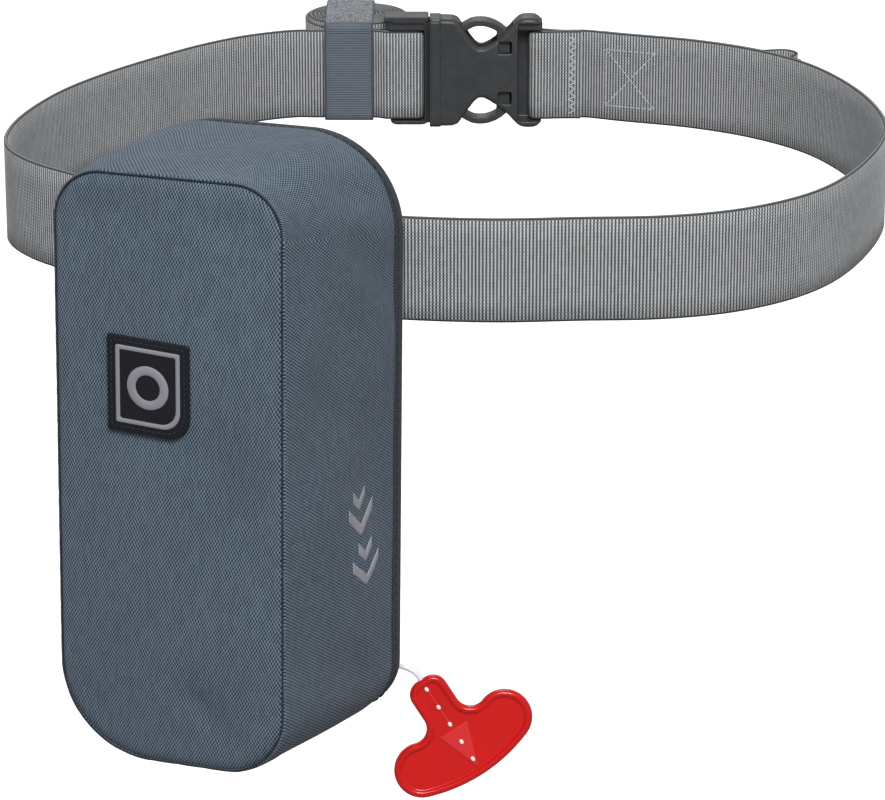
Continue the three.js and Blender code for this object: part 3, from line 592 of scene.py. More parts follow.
@dataclass(frozen=True)
class ClothFinish:
    """Woven cloth, tape or webbing: its colours and the size of its threads in millimetres."""

    name: str
    valley: Colour
    ridge: Colour
    along_pitch: float
    across_pitch: float
    rib_share: float = 0.0
    turn_deg: float = 0.0
    wander: float = 0.15
    fleck: float = 0.25
    bump: float = 0.12
    bump_strength: float = 0.9
    roughness: float = 0.85
    sheen: float = 0.25
    sheen_roughness: float = 0.5
    specular: float = 0.25
    uneven: float = 0.25
    uneven_scale: float = 28.0
    contrast: float = 1.0
    darkening: float = 0.0
    fuzz: float = 0.25
    fuzz_scale: float = 2500.0
    # Strap edges: a dark band beside the weave is painted shade along the edge and between the roll's layers,
    # and a lighter crest is a painted highlight on the rounded edge.
    painted_edge_band: Optional[Pair] = None
    edge_shade_and_highlight: Pair = (0.03, 0.36)

    @cache
    def build(self) -> bpy.types.Material:
        """Makes the material, or gives the one already made."""
        material, sheet, shader = start_material(self.name, {
            "Roughness": self.roughness, "Sheen Weight": self.sheen, "Sheen Roughness": self.sheen_roughness,
            "Specular IOR Level": self.specular,
        })
        threads = sheet.put("ShaderNodeUVMap", uv_map="threads").outputs[0]
        place = sheet.put("ShaderNodeTexCoord").outputs["Object"]
        turn = {"Vector": threads, "Angle": math.radians(self.turn_deg)}
        turned = sheet.put("ShaderNodeVectorRotate", turn, rotation_type="Z_AXIS")
        weave = Groups.THREADS.place_in(sheet, {
            "Threads": turned.outputs[0], "Along Pitch": self.along_pitch, "Across Pitch": self.across_pitch,
            "Rib Share": self.rib_share, "Wander": self.wander,
        })
        height = weave.outputs["Height"]
        fleck = sheet.sum("MULTIPLY", sheet.sum("SUBTRACT", weave.outputs["Tone"], 0.5), self.fleck)
        rest = 0.5 - 0.5 * self.contrast - self.darkening
        steep = sheet.sum("MULTIPLY_ADD", height, self.contrast, rest)
        share = sheet.put("ShaderNodeClamp", {0: sheet.sum("ADD", steep, fleck)}).outputs[0]
        # Painted shade and painted highlight along the strap's edges.
        if self.painted_edge_band:
            share = self.with_painted_edge_light(sheet, threads, share)
        cloth = sheet.colour(share, rgba(self.valley), rgba(self.ridge))
        tone = {"Place": place, "Patch Scale": self.uneven_scale, "Amount": self.uneven}
        uneven = Groups.TONE.place_in(sheet, tone).outputs[0]
        sheet.feed(shader.inputs["Base Color"], sheet.colour(1.0, cloth, sheet.grey(uneven), "MULTIPLY"))
        fuzz = sheet.noise(place, self.fuzz_scale, 2.0).outputs["Fac"]
        sheet.bump(shader, sheet.sum("MULTIPLY_ADD", fuzz, self.fuzz, height), self.bump, self.bump_strength)
        return material

    def with_painted_edge_light(self, sheet: Sheet, threads: Socket, share: Socket) -> Socket:
        """The weave's tone with the strap's edges: painted shade beside the weave and a painted highlight on
        the crest.

        Args:
            sheet: the material's sheet.
            threads: thread coordinates.
            share: the weave's tone.

        Returns:
            The tone with both edges in it.
        """
        # The flank tone is painted shade, and the crest tone is a painted highlight.
        (start, end), (flank, crest) = self.painted_edge_band, self.edge_shade_and_highlight
        apart = sheet.put("ShaderNodeSeparateXYZ", {0: threads})
        away = sheet.sum("ABSOLUTE", apart.outputs[1])
        tone = sheet.span(away, mix(start, end, 0.5), end, flank, crest)
        return sheet.between(sheet.sum("GREATER_THAN", away, start), share, tone)


@dataclass(frozen=True)
class MouldedFinish:
    """Moulded plastic, rubber or plated metal."""

    name: str
    colour: Colour
    roughness: float
    worn: Optional[Colour] = None
    scuffs: Pair = (0.45, 0.75)
    most_scuffed: float = 0.6
    scuff_scale: float = 130.0
    uneven: float = 0.2
    uneven_scale: float = 60.0
    roughness_spread: Pair = (0.8, 1.25)
    grain_scale: float = 3000.0
    grain: float = 0.03
    bump_strength: float = 0.6
    coat: float = 0.0
    coat_roughness: float = 0.06
    metallic: float = 0.0
    specular: float = 0.5

    @cache
    def build(self) -> bpy.types.Material:
        """Makes the material, or gives the one already made."""
        material, sheet, shader = start_material(self.name, {
            "Coat Weight": self.coat, "Coat Roughness": self.coat_roughness, "Metallic": self.metallic,
            "Specular IOR Level": self.specular,
        })
        place = sheet.put("ShaderNodeTexCoord").outputs["Object"]
        scales = {"Place": place, "Grain Scale": self.grain_scale, "Scuff Scale": self.scuff_scale}
        grain = Groups.GRAIN.place_in(sheet, scales)
        tone = {"Place": place, "Patch Scale": self.uneven_scale, "Amount": self.uneven}
        uneven = Groups.TONE.place_in(sheet, tone).outputs[0]
        base = sheet.colour(1.0, rgba(self.colour), sheet.grey(uneven), "MULTIPLY")
        if self.worn:
            scuff = sheet.span(grain.outputs["Scuff"], *self.scuffs, 0.0, self.most_scuffed)
            base = sheet.colour(scuff, base, rgba(self.worn))
        sheet.feed(shader.inputs["Base Color"], base)
        smooth, rough = (self.roughness * factor for factor in self.roughness_spread)
        sheet.feed(shader.inputs["Roughness"], sheet.span(grain.outputs["Scuff"], 0.0, 1.0, smooth, rough))
        sheet.bump(shader, grain.outputs["Height"], self.grain, self.bump_strength)
        return material


@dataclass(frozen=True)
class PlainFinish:
    """The frame's own material of a slot, as the solids wear it."""

    slot: Slot

    def build(self) -> bpy.types.Material:
        """Gives the frame's material."""
        return bpy.data.materials[self.slot.value]


POUCH_CLOTH = ClothFinish(
    "pouch_cloth", (0.006, 0.012, 0.02), (0.147, 0.199, 0.258), 1.1, 1.9, bump=0.25, turn_deg=4, uneven=0.36,
    fleck=0.14, wander=0.3, sheen=0.06, contrast=1.35, darkening=0.02,
)
SIDE_CLOTH = replace(POUCH_CLOTH, name="side_cloth", along_pitch=2.1, across_pitch=1.2, turn_deg=-3)
BINDING_TWILL = ClothFinish(
    "binding_twill", (0.01, 0.013, 0.018), (0.045, 0.056, 0.07), 1.0, 2.0, rib_share=0.8, turn_deg=50,
    bump=0.15, sheen=0.05,
)
# Its edge band paints shade beside the weave, along the edges and between the roll's layers, and a highlight
# on the crest.
BELT_WEBBING = ClothFinish(
    "belt_webbing", (0.013, 0.014, 0.016), (0.57, 0.59, 0.605), 1.25, 1.25, rib_share=0.5, wander=0.1,
    fleck=0.1, contrast=1.9, darkening=0.14, bump=0.16, uneven=0.18, painted_edge_band=(18.2, 19.0), sheen=0.08,
)
# Its edge band paints shade beside the tape's edges and a highlight on their crest.
KEEPER_TAPE = ClothFinish(
    "keeper_tape", (0.055, 0.066, 0.084), (0.15, 0.177, 0.212), 1.0, 1.6, rib_share=0.7, bump=0.08,
    painted_edge_band=(9.4, 10.25), fleck=0.15, sheen=0.1,
)
KEEPER_PILE = ClothFinish(
    "keeper_pile", (0.24, 0.26, 0.28), (0.46, 0.48, 0.50), 0.5, 0.5, bump=0.02, sheen=0.4,
)
SEWING_THREAD = ClothFinish(
    "sewing_thread", (0.34, 0.36, 0.40), (0.66, 0.68, 0.71), 0.4, 0.4, bump=0.03, sheen=0.1,
)
# Dark thread of the stitches; on the front seam it also paints the groove's shade.
DARK_THREAD = ClothFinish(
    "dark_thread", (0.008, 0.01, 0.014), (0.03, 0.037, 0.045), 0.4, 0.4, bump=0.03, sheen=0.0,
)
PRINT_INK = ClothFinish(
    "print_ink", (0.20, 0.205, 0.23), (0.36, 0.365, 0.40), 1.1, 1.9, turn_deg=4, roughness=0.7, sheen=0.0,
)
BUCKLE_PLASTIC = MouldedFinish(
    "buckle_plastic", (0.034, 0.036, 0.039), 0.4, worn=(0.048, 0.05, 0.054), specular=0.45,
)
HANDLE_PLASTIC = MouldedFinish(
    "handle_plastic", (0.52, 0.005, 0.004), 0.26, grain=0.003, grain_scale=900.0, coat=0.45, specular=0.15,
)
ARROW_PLASTIC = PlainFinish(Slot.HANDLE)
WHITE_DOT = MouldedFinish("white_dot", (0.82, 0.78, 0.77), 0.4, grain=0.004)
CORD_COATING = MouldedFinish("cord_coating", (0.74, 0.76, 0.76), 0.25, grain=0.01, coat=0.3)
PATCH_RUBBER = MouldedFinish(
    "patch_rubber", (0.0085, 0.009, 0.012), 0.6, grain=0.05, grain_scale=2200.0, specular=0.2,
)
PATCH_GREY = replace(PATCH_RUBBER, name="patch_grey", colour=(0.22, 0.22, 0.25), roughness=0.65, grain=0.04)
EYELET_METAL = MouldedFinish("eyelet_metal", (0.30, 0.31, 0.32), 0.35, grain=0.01, metallic=1.0)


# Camera and light


@dataclass(frozen=True)
class Sun:
    """A soft sun: where it stands in degrees, and its strength."""

    name: str
    azimuth_deg: float
    height_deg: float
    strength: float
    spread_deg: float = 26.0

    def build(self) -> None:
        """Adds the sun."""
        sun = bpy.data.lights.new(self.name, "SUN")
        sun.energy = self.strength
        sun.angle = math.radians(self.spread_deg)
        lamp = shown(self.name, sun)
        lamp.rotation_euler = (math.radians(90 - self.height_deg), 0, math.radians(self.azimuth_deg))


@dataclass
class Studio:
    """Camera at the photograph's angle, pale floor and soft light, in metres."""

    camera_place: Point = (0.4907, -1.3741, 0.380)
    pitch_deg: float = 18.1
    azimuth_deg: float = 20.0
    sensor: float = 36.0
    focal_px: float = 3900.0
    frame_px: float = 885.0
    floor_height: float = -0.9
    floor_reach: float = 14.0
    floor_shown: float = 0.95
    floor_bounce: float = 0.35
    floor_glow: float = 0.45
    floor_roughness: float = 0.9
    sky_strength: float = 0.42
    key_place: Point = (0.55, -1.05, 0.95)
    key_size: float = 0.45
    key_power: float = 12.5
    suns: tuple[Sun, ...] = (Sun("front", 20.0, 46.0, 1.5), Sun("back", 205.0, 42.0, 0.65))

    def make_camera(self) -> None:
        """Adds the camera and makes it the scene's."""
        data = bpy.data.cameras.new("photo_camera")
        data.sensor_width = self.sensor
        data.lens = self.sensor * self.focal_px / self.frame_px
        camera = shown("photo_camera", data)
        camera.location = self.camera_place
        camera.rotation_euler = (math.radians(90 - self.pitch_deg), 0, math.radians(self.azimuth_deg))
        bpy.context.scene.camera = camera

    def make_floor(self) -> None:
        """Adds the floor: pale to the camera, and darker in the light that it throws back."""
        reach, height = self.floor_reach, self.floor_height
        corners = [(x * reach, y * reach, height) for x, y in ((-1, -1), (1, -1), (1, 1), (-1, 1))]
        mesh = bpy.data.meshes.new("floor")
        mesh.from_pydata(corners, [], [(0, 1, 2, 3)])
        floor = shown("floor", mesh)
        material, sheet, shader = start_material("pale_floor", {
            "Emission Color": rgba((1, 1, 1)), "Roughness": self.floor_roughness, "Specular IOR Level": 0.0,
        })
        seen = sheet.put("ShaderNodeLightPath").outputs["Is Camera Ray"]
        tone = sheet.between(seen, self.floor_bounce, self.floor_shown)
        sheet.feed(shader.inputs["Base Color"], sheet.grey(tone))
        sheet.feed(shader.inputs["Emission Strength"], sheet.sum("MULTIPLY", seen, self.floor_glow))
        mesh.materials.append(material)

    def make_light(self) -> None:
        """Adds the soft suns, the near key light and a sky that is brighter to the camera."""
        for sun in self.suns:
            sun.build()
        key = bpy.data.lights.new("key", "AREA")
        key.size = self.key_size
        key.energy = self.key_power
        lamp = shown("key", key)
        lamp.location = self.key_place
        lamp.rotation_euler = (-Vector(self.key_place)).to_track_quat("-Z", "Y").to_euler()
        world = bpy.data.worlds.new("studio")
        world.use_nodes = True
        sheet = Sheet(world.node_tree)
        seen = sheet.put("ShaderNodeLightPath").outputs["Is Camera Ray"]
        sky = world.node_tree.nodes["Background"]
        sky.inputs["Color"].default_value = rgba((1, 1, 1))
        sheet.feed(sky.inputs["Strength"], sheet.between(seen, self.sky_strength, 1.0))
        bpy.context.scene.world = world

    def build(self) -> None:
        """Adds camera, floor and light."""
        self.make_camera()
        self.make_floor()
        self.make_light()
        bpy.context.scene.view_settings.view_transform = "Standard"


# Stitches


@dataclass(frozen=True)
class Stitch:
    """One stitch of thread: its length, thickness and how far it stands up, in millimetres."""

    length: float
    thickness: float
    stand: float = 0.12
    rows: int = 7

    def template(self) -> tuple[Array, Array]:
        """Corners and faces of a stitch along X, bowed up along Z, with six sides.

        Returns:
            The corners and the faces.
        """
        sides = 6
        share = np.linspace(-1, 1, self.rows)
        radius = self.thickness / 2 * np.sqrt(np.clip(1.02 - share**4, 0, 1))
        angle = np.arange(sides) * math.tau / sides
        x = np.repeat(share[:, None] * self.length / 2, sides, axis=1)
        y = radius[:, None] * np.cos(angle)
        z = radius[:, None] * np.sin(angle) + (self.stand * (1 - share**2))[:, None]
        ends = np.array([(0, 1, 2, 3), (0, 3, 4, 5)])
        faces = [lattice_faces(self.rows, sides, False, True), ends, ends + (self.rows - 1) * sides]
        return np.stack([x, y, z], axis=-1).reshape(-1, 3), np.concatenate(faces)

    def sew(self, places: Array, along: Array, normals: Array) -> Skin:
        """Lays stitches on a surface.

        Args:
            places: the middle of each stitch.
            along: the direction of each, or one for all.
            normals: what way the surface faces at each, or one for all.

        Returns:
            The stitches' skin.
        """
        along, normals = (np.broadcast_to(vectors, places.shape) for vectors in (along, normals))
        along = unit(along - normals * np.sum(along * normals, axis=1, keepdims=True))
        frames = np.stack([along, np.cross(normals, along), normals], axis=1)
        corners, faces = self.template()
        return Skin().add(*copies(corners, faces, frames, places))


def stitch_places(path: Array, pitch: float) -> tuple[Array, Array]:
    """Middle points and directions of stitches laid end to end along a path.

    Args:
        path: points of the seam.
        pitch: length of seam for each stitch.

    Returns:
        The middle of each stitch, and its direction.
    """
    total = lengths_along(path)[-1]
    count = max(int(total / pitch), 1)
    middles = (np.arange(count) + 0.5) * total / count
    reach = STITCH_LEAN * pitch
    places = resampled(path, middles)
    return places, unit(resampled(path, middles + reach) - resampled(path, middles - reach))


# Belt


@dataclass
class Strap:
    """Flat woven strap of one width that follows a path, with its crosswise ribs in the mesh."""

    width: float
    thickness: float
    rib_pitch: float = 1.25
    rib_height: float = 0.1
    rib_rest: float = 0.6
    edge_round: float = 0.35
    steps_across: int = 6

    def section(self) -> tuple[Array, Array, Array]:
        """Cross-section: place across, place through, and how much each corner takes the ribs.

        Returns:
            Three numbers for each corner of the section, as three arrays.
        """
        edge = self.width / 2
        across = np.linspace(self.edge_round - edge, edge - self.edge_round, self.steps_across)
        through = np.full(len(across), self.thickness / 2)
        v = np.concatenate([across, [edge], across[::-1], [-edge]])
        t = np.concatenate([through, [0.0], -through, [0.0]])
        return v, t, np.sign(t)

    def skin(self, path: Array, width_way: Array, stations: Array) -> Skin:
        """The strap's skin.

        Args:
            path: middle line in millimetres.
            width_way: direction of the strap's width.
            stations: lengths along the path at which a section stands.

        Returns:
            The closed skin.
        """
        middle = resampled(path, stations)
        tangent = unit(np.gradient(middle, axis=0))
        side = unit(np.cross(tangent, width_way))
        v, t, rib = self.section()
        wave = self.rib_height * (np.cos(math.tau * stations / self.rib_pitch) - self.rib_rest)
        through = t[None, :] + wave[:, None] * rib[None, :]
        grid = middle[:, None, :] + v[None, :, None] * width_way + through[:, :, None] * side[:, None, :]
        return Skin().add_grid(grid, stations, np.append(v, v[0]), close_cols=True, caps=True)


@dataclass
class BackRun:
    """Straight back stretch of the belt, in millimetres: places along it, outward and up."""

    middle: Pair = (-58.37, 134.442)
    angle_deg: float = 20.0

    def point(self, place: Number, outward: Number, height: Number = 0.0) -> Array:
        """Points of the run in the row frame.

        Args:
            place: places along the run.
            outward: distances out from it.
            height: heights.

        Returns:
            The points, in millimetres.
        """
        values = (np.asarray(value, dtype=float) for value in (place, outward, height))
        place, outward, height = np.broadcast_arrays(*values)
        cos, sin = math.cos(math.radians(self.angle_deg)), math.sin(math.radians(self.angle_deg))
        x = self.middle[0] + place * cos - outward * sin
        y = self.middle[1] + place * sin + outward * cos
        return np.stack([x, y, height], axis=-1)

    def way(self, place: float, outward: float) -> Array:
        """Direction in the row frame."""
        return self.point(place, outward) - self.point(0.0, 0.0)

    def matrix(self, raised: float = 0.0) -> Matrix:
        """Placement of a piece that is drawn along the run, in millimetres."""
        turn = Matrix.Rotation(math.radians(self.angle_deg), 4, "Z")
        return Matrix.Translation((*self.middle, raised)) @ turn


@dataclass
class WaistBelt:
    """Belt webbing with its strands, roll, accessory tab and stitching."""

    run: BackRun = field(default_factory=BackRun)
    width: float = 38.0
    thickness: float = 1.4
    pressed: float = 0.08
    gap: float = 0.3
    bar_radius: float = 1.7
    loop_half: Pair = (163.5, 154.0)
    run_reach: Pair = (60.0, 62.0)
    run_lead: Pair = (1.0, 8.0)
    curve_steps: int = 60
    plan: tuple[Pair, ...] = (
        (0.086, 1.0), (0.279, 0.992), (0.445, 0.945), (0.602, 0.847), (0.73, 0.703), (0.87, 0.469),
        (0.961, 0.22), (0.989, -0.1), (0.967, -0.356), (0.911, -0.516), (0.819, -0.65), (0.699, -0.746),
        (0.536, -0.823), (0.374, -0.899), (0.198, -0.948), (0.03, -0.967), (-0.135, -0.973),
        (-0.306, -0.966), (-0.465, -0.935), (-0.612, -0.872), (-0.774, -0.786), (-0.885, -0.67),
        (-0.96, -0.47), (-0.994, -0.156), (-0.973, 0.087), (-0.928, 0.298), (-0.875, 0.484),
        (-0.803, 0.636),
    )
    female_bar: float = 39.8
    stub_end: float = 58.3
    merge: float = 12.0
    male_bar: float = -11.2
    male_end_bar: float = -20.3
    strand_shift: float = 7.0
    turn_steps: int = 24
    roll_place: float = -36.4
    roll_radius: float = 22.4
    roll_rise: float = 2.0
    roll_core: float = 4.5
    roll_steps_per_turn: int = 72
    tab_start: float = 14.0
    tab_trim: float = 0.6
    tab_loop: tuple[float, float, float] = (88.0, 15.0, 7.0)
    tab_reach: float = 10.5
    tab_step: float = 0.25
    tab_softening: int = 4
    tab_arch: tuple[Pair, ...] = (
        (0, 0), (0.12, 0.45), (0.3, 0.9), (0.5, 1), (0.72, 0.93), (0.9, 0.5), (1, 0),
    )
    box: tuple[float, float, float, float] = (17.0, 38.5, -12.5, 11.5)
    box_pitch: float = 2.6
    box_thread: Stitch = Stitch(2.3, 0.42)
    zigzag: Pair = (53.0, 56.2)
    zigzag_reach: float = 16.6
    zigzag_pitch: float = 1.5
    zigzag_thread: Stitch = Stitch(3.6, 0.5, 0.1)
    tangent_reach: float = 0.5
    fine_step: float = 0.3125
    coarse_step: float = 1.1

    @property
    def wrap(self) -> float:
        """Radius of the webbing's middle line round a buckle bar."""
        return self.bar_radius + self.gap + self.thickness / 2

    @property
    def strand_step(self) -> float:
        """Distance between the middle lines of two layers."""
        return self.thickness + self.gap

    def loop_curve(self) -> Array:
        """Middle line of the belt's round stretch, dense.

        Returns:
            The line's points, in millimetres.
        """
        half_width, half_depth = self.loop_half
        (right, left), (right_lead, left_lead) = self.run_reach, self.run_lead
        plan = np.array([(across * half_width, along * half_depth, 0.0) for across, along in self.plan])
        start = self.run.point(np.array([self.female_bar + self.merge + right_lead, right]), 0.0)
        end = self.run.point(np.array([-left, -left + left_lead]), 0.0)
        return catmull_rom(np.concatenate([start, plan, end]), self.curve_steps)

    def strand(self, places: Pair, outward: Pair) -> Array:
        """Strand of the back run that eases from one distance to another."""
        share = np.linspace(0, 1, self.turn_steps, endpoint=False)
        return self.run.point(mix(*places, share), mix(*outward, ease(share)))

    def bar_turn(self, bar: float, side: int) -> Array:
        """Half turn round a buckle bar, from the inner to the outer side."""
        angle = np.linspace(-math.pi / 2, math.pi / 2, self.turn_steps, endpoint=False)
        return self.run.point(bar + side * self.wrap * np.cos(angle), self.wrap * np.sin(angle))

    def roll(self) -> Array:
        """Spiral of the rolled tail, from its outside in.

        Returns:
            The spiral's points, in millimetres.
        """
        line = self.roll_radius - self.thickness / 2
        turned = np.arange(0, (line - self.roll_core) / self.strand_step, 1 / self.roll_steps_per_turn)
        radius = line - self.strand_step * turned
        angle = turned * math.tau
        rise = self.roll_rise * ease(np.minimum(2 * turned, 1))
        outward = self.strand_step + line - radius * np.cos(angle)
        return self.run.point(self.roll_place - radius * np.sin(angle), outward, rise)

    def path(self) -> tuple[Array, float]:
        """Whole middle line of the webbing, and the length at which the roll's outer turn ends.

        Returns:
            The line's points and that length, in millimetres.
        """
        merge_end = self.female_bar + self.merge
        shift_end = self.male_end_bar - self.bar_radius - self.gap
        step, wrap = self.strand_step, self.wrap
        before = np.concatenate([
            self.strand((self.stub_end, merge_end), (-step, -step)),
            self.strand((merge_end, self.female_bar), (-step, -wrap)),
            self.bar_turn(self.female_bar, -1),
            self.strand((self.female_bar, merge_end), (wrap, 0.0)),
            self.run.point(np.array([merge_end]), 0.0),
            self.loop_curve(),
            self.strand((shift_end - self.strand_shift, shift_end), (0.0, -wrap)),
            self.strand((shift_end, self.male_bar), (-wrap, -wrap)),
            self.bar_turn(self.male_bar, 1),
            self.strand((self.male_bar, shift_end), (wrap, wrap)),
            self.strand((shift_end, self.roll_place), (wrap, step)),
        ])
        outer_turn = lengths_along(before)[-1] + math.tau * self.roll_radius
        return np.concatenate([before, self.roll()]), outer_turn

    def build_webbing(self) -> None:
        """Makes the belt webbing in one piece, fine where it shows and coarser inside the roll."""
        path, fine_end = self.path()
        total = lengths_along(path)[-1]
        fine = np.arange(0, fine_end, self.fine_step)
        stations = np.concatenate([fine, np.arange(fine_end, total, self.coarse_step), [total]])
        strap = Strap(self.width, self.thickness - self.pressed)
        piece = strap.skin(path, UP, stations).build("belt_strap")
        settle(piece, BELT_WEBBING, Slot.WEBBING, "belt_webbing")

    def beside(self, stations: Array) -> tuple[Array, Array, Array]:
        """Places, tangents and outward directions of the round stretch at lengths along it.

        Args:
            stations: lengths along the stretch.

        Returns:
            The places, the tangents and the outward directions.
        """
        curve = self.loop_curve()
        reach = self.tangent_reach
        tangent = unit(resampled(curve, stations + reach) - resampled(curve, stations - reach))
        outward = np.stack([-tangent[:, 1], tangent[:, 0], np.zeros(len(tangent))], axis=1)
        return resampled(curve, stations), tangent, outward

    def tab_path(self) -> Array:
        """Middle line of the accessory tab on the belt's outer face.

        Returns:
            The line's points, in millimetres.
        """
        start, length, foot = self.tab_loop
        stations = np.arange(self.tab_start, start + length + foot, self.tab_step)
        place, _, outward = self.beside(stations)
        arch = np.array(self.tab_arch)
        rise = np.interp((stations - start) / length, arch[:, 0], arch[:, 1])
        window = 2 * self.tab_softening + 1
        padded = np.pad(rise, self.tab_softening, mode="edge")
        soft = np.convolve(padded, np.ones(window) / window, mode="valid")
        return place + outward * (self.strand_step + soft * (self.tab_reach - self.strand_step))[:, None]

    def build_tab(self) -> None:
        """Makes the accessory tab."""
        path = self.tab_path()
        stations = np.arange(0, lengths_along(path)[-1], self.fine_step)
        strap = Strap(self.width - self.tab_trim, self.thickness - self.pressed)
        piece = strap.skin(path, UP, stations).build("accessory_tab_strap")
        settle(piece, BELT_WEBBING, Slot.WEBBING, "accessory_tab")

    def build_box_stitch(self) -> None:
        """Sews the crossed box of the tab, on both faces of the belt."""
        start, end, low, high = self.box
        box = [(start, low), (end, low), (end, high), (start, high), (start, low), (end, high)]
        cross = [(start, high), (end, low)]
        lines = [stitch_places(np.array(corners, dtype=float), self.box_pitch) for corners in (box, cross)]
        flat, ways = (np.concatenate(parts) for parts in zip(*lines))
        place, tangent, outward = self.beside(flat[:, 0])
        along = tangent * ways[:, :1] + UP * ways[:, 1:]
        skin = Skin()
        for side, out in ((-1, -self.thickness / 2), (1, self.strand_step + self.thickness / 2)):
            spots = place + outward * out
            spots[:, 2] = flat[:, 1]
            skin.add_skin(self.box_thread.sew(spots, along, outward * side))
        settle(skin.build("box_stitch"), SEWING_THREAD, Slot.WEBBING)

    def build_zigzag(self) -> None:
        """Sews the zigzag of the folded end."""
        teeth = np.arange(-self.zigzag_reach, self.zigzag_reach + 0.1, self.zigzag_pitch)
        near, far = self.zigzag
        line = np.stack([np.where(np.arange(len(teeth)) % 2 == 0, near, far), teeth], axis=1)
        middles = (line[:-1] + line[1:]) / 2
        ways = unit(np.diff(line, axis=0))
        spots = self.run.point(middles[:, 0], -self.strand_step - self.thickness / 2, middles[:, 1])
        along = ways[:, :1] * self.run.way(1.0, 0.0) + ways[:, 1:] * UP
        sewn = self.zigzag_thread.sew(spots, along, self.run.way(0.0, -1.0))
        settle(sewn.build("zigzag_stitch"), SEWING_THREAD, Slot.WEBBING)

    def build(self) -> None:
        """Makes every piece of the belt."""
        self.build_webbing()
        self.build_tab()
        self.build_box_stitch()
        self.build_zigzag()


@dataclass(frozen=True)
class Pile:
    """Bent fibres that stand up from a tape, in millimetres."""

    count: int = 1500
    radius: float = 0.6
    fibre: float = 0.085
    squash: float = 0.9
    rows: int = 6
    margin: float = 0.6
    most_lean: float = 0.6
    scales: Pair = (0.6, 1.15)
    sunk: float = 0.1

    def template(self) -> tuple[Array, Array, Array]:
        """Corners, four-sided faces and three-sided end faces of one fibre, a half ring.

        Returns:
            The corners, the side faces and the end faces.
        """
        sides = 3
        bow = np.linspace(0, math.pi, self.rows)
        ring = np.arange(sides) * math.tau / sides
        reach = self.radius + self.fibre * np.cos(ring)[None, :]
        x = np.cos(bow)[:, None] * reach
        z = np.sin(bow)[:, None] * reach * self.squash
        y = np.repeat((self.fibre * np.sin(ring))[None, :], self.rows, axis=0)
        first, last = np.arange(sides), np.arange(sides) + (self.rows - 1) * sides
        corners = np.stack([x, y, z], axis=-1).reshape(-1, 3)
        return corners, lattice_faces(self.rows, sides, False, True), np.stack([first, last])

    def grow(self, run: BackRun, place: float, width: float, depths: Pair, height: float) -> Skin:
        """Scatters the fibres over a level face.

        Args:
            run: the back run that the face lies along.
            place: the middle of the face along the run.
            width: the face's width along the run.
            depths: nearest and farthest distance outward.
            height: the face's height.

        Returns:
            The fibres' skin.
        """
        dice = np.random.default_rng(SEED)
        half = width / 2 - self.margin
        places = place + dice.uniform(-half, half, self.count)
        outward = dice.uniform(depths[0] + self.margin, depths[1] - self.margin, self.count)
        turn = dice.uniform(0, math.tau, self.count)
        lean = dice.uniform(-self.most_lean, self.most_lean, self.count)
        scale = dice.uniform(*self.scales, self.count)
        along = np.stack([np.cos(turn), np.sin(turn), np.zeros(self.count)], axis=1)
        across = np.stack([-np.sin(turn), np.cos(turn), np.zeros(self.count)], axis=1)
        stand = unit(UP + across * lean[:, None])
        frames = np.stack([along, np.cross(stand, along), stand], axis=1) * scale[:, None, None]
        origins = run.point(places, outward, height - self.sunk)
        template, faces, ends = self.template()
        corners, sides = copies(template, faces, frames, origins)
        return Skin().add(corners, [*sides, *copies(template, ends, frames, origins)[1]])


@dataclass
class Keeper:
    """Hook-and-loop keeper strap round the roll, with loop pile over the top."""

    belt: WaistBelt
    place: float = -39.4
    width: float = 20.5
    thickness: float = 1.0
    pressed: float = 0.1
    gap: float = 0.12
    start: float = 8.0
    flap_top: float = 17.5
    bend: float = 1.5
    rib_pitch: float = 1.0
    rib_height: float = 0.03
    path_points: int = 160
    step: float = 0.2
    pile: Pile = Pile()

    def levels(self) -> tuple[float, float, float, float]:
        """Front and back distance and top and bottom height of the strap's middle line.

        Returns:
            The four values, in millimetres.
        """
        belt, hold = self.belt, self.gap + self.thickness / 2
        roll_back = belt.strand_step + 2 * belt.roll_radius - belt.thickness / 2
        half = belt.width / 2
        return -belt.thickness / 2 - hold, roll_back + hold, half + belt.roll_rise + hold, -half - hold

    def build(self) -> None:
        """Makes the strap and its pile."""
        front, back, top, bottom = self.levels()
        lap, bend = self.thickness + self.belt.gap, self.bend
        route = np.array([
            (front, self.start), (front, top - bend), (front + bend, top), (back - bend, top),
            (back, top - bend), (back, bottom + bend), (back - bend, bottom), (front - lap + bend, bottom),
            (front - lap, bottom + bend), (front - lap, self.flap_top),
        ])
        run = self.belt.run
        path = run.point(self.place, route[:, 0], route[:, 1])
        path = rounded_path(resampled(path, np.linspace(0, lengths_along(path)[-1], self.path_points)))
        stations = np.arange(0, lengths_along(path)[-1], self.step)
        strap = Strap(self.width, self.thickness - self.pressed, self.rib_pitch, self.rib_height)
        piece = strap.skin(path, run.way(1.0, 0.0), stations).build("keeper_strap")
        settle(piece, KEEPER_TAPE, Slot.KEEPER, "roll_keeper")
        pile = self.pile.grow(run, self.place, self.width, (front, back), top + self.thickness / 2)
        settle(pile.build("keeper_pile"), KEEPER_PILE, Slot.KEEPER)


# Buckle


@dataclass(frozen=True)
class Block:
    """Small block added to a moulding: its middle and size along the run, outward and up."""

    middle: Point
    size: Point


